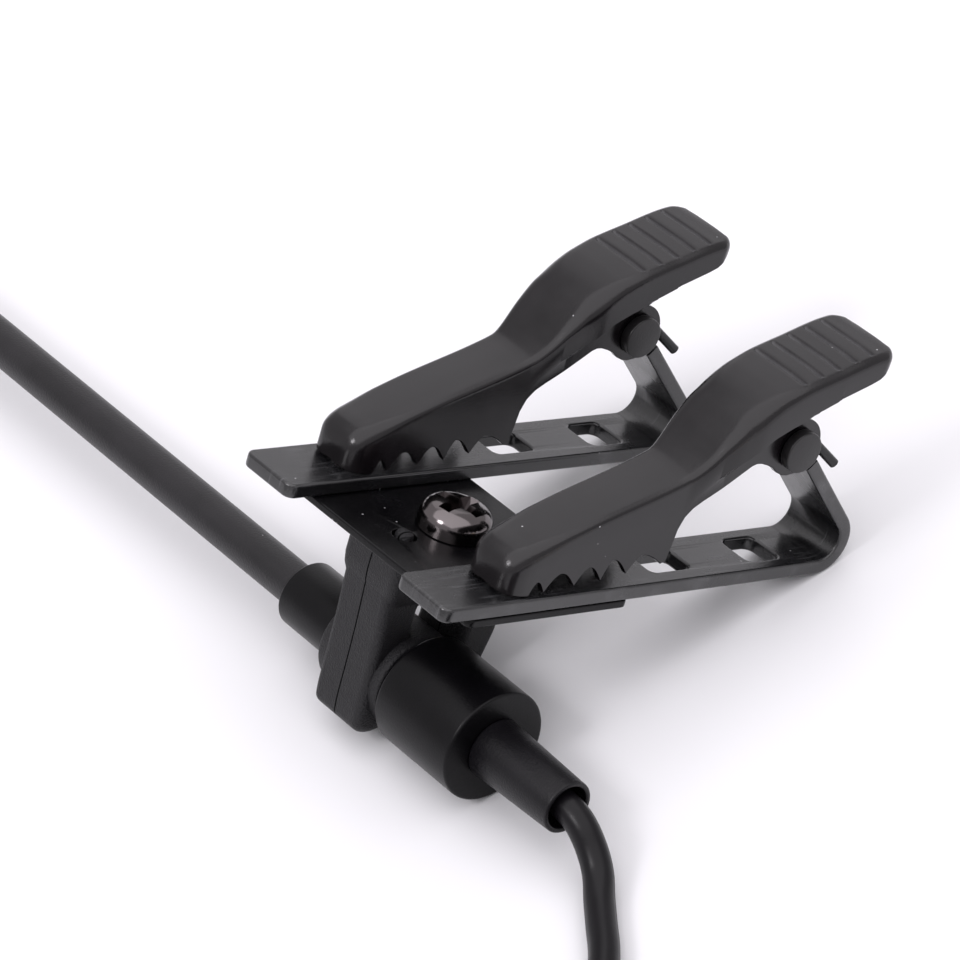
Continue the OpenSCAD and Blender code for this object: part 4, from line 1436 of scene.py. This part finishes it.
    def grille(self) -> Piece:
        """Drills the grille, its rings of holes placed by Geometry Nodes.

        Returns:
            The piece.
        """
        rings = [(ring * self.grille_pitch, math.tau * k / max(6 * ring, 1))
                 for ring in range(self.grille_rings) for k in range(max(6 * ring, 1))]
        points = bpy.data.meshes.new("hole_centres")
        points.from_pydata([(*arm(r, a), 0.0) for r, a in rings], [], [])
        shape = DrilledDisc().run(linked("hole_centres", points), GRILLE_STEEL,
                                  thickness=self.grille_thickness, radius=self.barrel_r - self.wall,
                                  hole_radius=self.grille_hole_r)
        seat = self.capsule_length - self.grille_depth
        placed(shape, lambda x, y, z: self._outward(seat + z, x, y))
        made = to_piece("grille", shape, GRILLE_STEEL)
        return dressed(made, "boom_outer", "grille_steel", "capsule_grille")

    def build(self) -> list[Piece]:
        """Makes every piece of the microphone that shows."""
        return [self.shell(), self.collar(), self.boot(), *self.boom(), self.capsule(), self.grille()]


# ---------------- cable and plug


@dataclass
class Plug:
    """The three-contact jack at the cable's end, along +Y from its cable end on the table."""

    place: Point3 = (64.7, -0.5, 4.4)
    boot: float = 6.0
    handle: float = 18.0
    handle_r: float = 4.4
    jack_r: float = 1.75
    core_r: float = 1.1
    sleeve_end: float = 7.6
    ring: Point2 = (8.2, 10.4)
    tip: float = 11.0
    ribs: int = 4
    rib_pitch: float = 1.3
    grips: int = 6
    grip_pitch: float = 1.0
    nose: Line = ((0.0, 0.0), (0.0, 1.75), (0.3, 1.75), (0.8, 1.25), (1.0, 1.25), (1.7, 1.65), (2.1, 1.5),
                  (2.6, 1.05), (2.9, 0.6), (3.0, 0.0))

    def at(self, along: float, x: float, z: float) -> Vector:
        """A point given from the cable's end along the plug, in the row frame."""
        return PLACE.table(self.place[0] + x, self.place[1] + along, self.place[2] + z)

    def _tube(self, low: float, high: float) -> list[Point2]:
        """Draws the profile of a ring round the jack's core.

        Args:
            low: Its near end, from the handle.
            high: Its far end, from the handle.

        Returns:
            The profile.
        """
        end = self.boot + self.handle
        return eased([(end + low, self.core_r), (end + low, self.jack_r), (end + high, self.jack_r),
                      (end + high, self.core_r)], 0.06, 2)

    def build(self) -> list[Piece]:
        """Makes the ribbed boot, the grooved handle and the contacts.

        Returns:
            The pieces.
        """
        start, end, r, core = self.boot, self.boot + self.handle, self.handle_r, self.core_r - 0.01
        ribs = [(x + dx, 1.7 + 1.0 * x / start + dr)
                for x in (0.9 + self.rib_pitch * k for k in range(self.ribs))
                for dx, dr in ((0, 0), (0.05, -0.25), (0.45, -0.2), (0.5, 0.08))]
        grip = [(start + 2.2 + self.grip_pitch * k + dx, r - dr) for k in range(self.grips)
                for dx, dr in ((0, 0), (0.12, 0.2), (0.38, 0.2), (0.5, 0))]
        boot = [(0.0, 1.07), (0.0, 1.7), *ribs, (start, 2.7), (start, 1.07)]
        handle = [(start, 0.7), (start, r - 0.4), (start + 0.4, r), *grip, (end - 0.5, r), (end, r - 0.5),
                  (end, self.core_r)]
        tip, gaps = end + self.tip, ((self.sleeve_end, self.ring[0]), (self.ring[1], self.tip))
        seat = [(end - 2.0, 0.0), (end - 2.0, core), (tip, core), (tip, 0.0)]
        rows = (("plug_boot", [eased(boot, 0.1, 2)], BOOT_RUBBER, "boot_rubber"),
                ("plug_handle", [eased(handle, 0.15, 2)], HANDLE_PLASTIC, "handle_plastic"),
                ("plug_sleeve", [self._tube(0.0, self.sleeve_end)], GOLD, "gold_contact"),
                ("plug_ring", [self._tube(*self.ring)], GOLD, "gold_contact"),
                ("plug_tip", [[(tip + x, y) for x, y in self.nose]], GOLD, "gold_contact"),
                ("plug_insulators", [seat, *(self._tube(*gap) for gap in gaps)], INSULATOR, "insulator"))
        return [dressed(lathe("jack_" + node, profiles, self.at, finish, 72), "clip", slot, node)
                for node, profiles, finish, slot in rows]


@dataclass
class Cable:
    """The microphone's cable: down to the table, wound into a coil, and on to the plug."""

    radius: float = 1.05
    length: float = 1200.0
    pitch: float = 2.12
    centre: Point2 = (53.0, -13.5)
    outer_r: float = 15.065
    start_angle: float = 200.0
    end_angle: float = 380.0
    change: float = 90.0
    per_turn: int = 36
    tie_angle: float = 235.0
    tie_width: float = 4.0
    tie_t: float = 0.8
    tie_edge: float = 0.12
    tie_fit: float = 0.05
    tie_under: float = 0.75
    lift_flat: float = 12.0
    lift_run: float = 35.0
    lead: tuple[Point3, ...] = (
        (17.25, 1.962, 4.05), (19.25, 1.962, 4.05), (20.65, 1.862, 3.6), (21.95, 1.562, 2.5),
        (23.15, 0.962, 1.6), (24.55, -0.138, 1.15), (26.35, -1.438, 1.05), (28.55, -3.038, 1.05),
        (31.9, -6.2, 1.05), (34.9, -10, 1.05), (37.2, -14.2, 1.05))
    tail: tuple[Point3, ...] = ((67.157, -8.348, 5.08), (65.957, -5.248, 4.88), (65.05, -2.9, 4.55),
                                (64.7, -1.6, 4.4), (64.7, -0.5, 4.4))
    cells: tuple[tuple[int, int], ...] = (
        (3, 0), (3, 1), (2, 1), (2, 0), (1, 0), (0, 0), (0, 1), (1, 1), (1, 2), (0, 2), (0, 3), (1, 3),
        (2, 3), (3, 3), (2, 2), (3, 2))

    @property
    def inner_r(self) -> float:
        """The radius of the coil's innermost turns."""
        return self.outer_r - 3 * self.pitch

    def _lift(self, angle: float) -> float:
        """How far the bundle rides up where the strap passes under it."""
        away = abs((angle - self.tie_angle + 180) % 360 - 180)
        return self.tie_under * self.tie_t * (1 - eased_step((away - self.lift_flat) / self.lift_run))

    def coil(self) -> list[Point3]:
        """Winds the coil anticlockwise, one place of the bundle's section for each turn.

        Returns:
            The centreline on the table.
        """
        points: list[Point3] = []
        turns = len(self.cells) - 1 + (self.end_angle - self.start_angle) / 360
        for i in range(round(turns * self.per_turn) + 1):
            done = i / self.per_turn
            k = min(int(done), len(self.cells) - 1)
            t = eased_step(((done - k) * 360 - (360 - self.change)) / self.change)
            (c0, l0), (c1, l1) = self.cells[k], self.cells[min(k + 1, len(self.cells) - 1)]
            angle = self.start_angle + 360 * done
            r = self.inner_r + self.pitch * (c0 + (c1 - c0) * t)
            u, v = arm(r, math.radians(angle))
            points.append((self.centre[0] + u, self.centre[1] + v,
                           self.radius + self.pitch * (l0 + (l1 - l0) * t) + self._lift(angle)))
        return points

    def route(self) -> list[Vector]:
        """Draws the whole centreline.

        Returns:
            Its points in the row frame, in metres.
        """
        coil = [PLACE.table(*p) for p in self.coil()]
        lead = smooth_path([*(PLACE.table(*p) for p in self.lead), coil[0]], 4)
        return lead[:-1] + coil[:-2] + smooth_path([coil[-2], *(PLACE.table(*p) for p in self.tail)], 6)

    def strap(self) -> Piece:
        """Wraps the strap round the coil.

        Returns:
            The piece.
        """
        t, half, edge, fit = self.tie_t, self.tie_width / 2, self.tie_edge, self.tie_fit
        inner, outer = self.inner_r - self.radius - fit, self.outer_r + self.radius + fit
        high = 2 * self.radius + 3 * self.pitch + self.tie_under * t + fit
        near = rounded_box((inner, self.tie_under * t), (outer, high), 1.2, 8)
        far = rounded_box((inner - t, 0.0), (outer + t, high + t), 1.9, 8)
        section = ((0.0, -half), (edge, -half), (1 - edge, -half), (1.0, -half + edge), (1.0, half - edge),
                   (1 - edge, half), (0.0, half))
        a = math.radians(self.tie_angle)

        def beside(u: float, y: float, z: float) -> Vector:
            """A point u from the coil's middle through the strap and y across it."""
            return PLACE.table(self.centre[0] + u * math.cos(a) - y * math.sin(a),
                               self.centre[1] + u * math.sin(a) + y * math.cos(a), z)

        rings = [[beside(u0 + (u1 - u0) * share, y, z0 + (z1 - z0) * share) for share, y in section]
                 for (u0, z0), (u1, z1) in zip(near, far)]
        return dressed(to_piece("strap", ringed(rings, True), STRAP), "clip", "tie_fabric", "cable_tie")

    def build(self, plug: Plug) -> list[Piece]:
        """Args:
            plug: The plug at its far end.

        Returns:
            The pieces.
        """
        path = self.route()
        made = PathSweep().tube("cable", path, self.radius, 14, CABLE_PVC)
        dressed(made, "clip", "cable_pvc", "cable_lead", "cable_coil", "cable_tail")
        pieces = [self.strap(), *plug.build()]
        tuple(PLACE.table(*self.lead[1]))
        [tuple(p) for p in path]
        return [made, *pieces]


# ---------------- main


DRESS = {"black_steel": JAW_COAT, "rivet_steel": RIVET_COAT, "spring_steel": SPRING_WIRE,
         "black_nickel": BLACK_NICKEL, "holder_plastic": HOLDER_PLASTIC, "black_aluminium": BARREL_COAT,
         "board": BOARD, "sleeve_rubber": BOOM_SLEEVE, "core_steel": CORE_STEEL, "capsule_can": CAPSULE_CAN,
         "gasket_rubber": GASKET, "grille_steel": GRILLE_STEEL, "boot_rubber": BOOT_RUBBER,
         "cable_pvc": CABLE_PVC, "tie_fabric": STRAP, "handle_plastic": HANDLE_PLASTIC, "gold_contact": GOLD,
         "insulator": INSULATOR}


def main() -> None:
    """Builds the microphone piece by piece."""
    logging.basicConfig(level=logging.INFO, format="%(message)s")
    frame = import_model()
    Studio().build()
    slots = {row["node"]: row["material_slot"] for row in frame["record"]["subparts"]}
    for name, item in frame["nodes"].items():
        item.data.materials.clear()
        item.data.materials.append(DRESS[slots[name]].material())
    made = Cable().build(Plug())
    made += Clip(Side.LEFT).build() + Clip(Side.RIGHT).build()
    made += Bridge().build() + Microphone().build()
    for piece in made:
        LOG.info("made %s", piece.name)


if __name__ == "__main__":
    main()
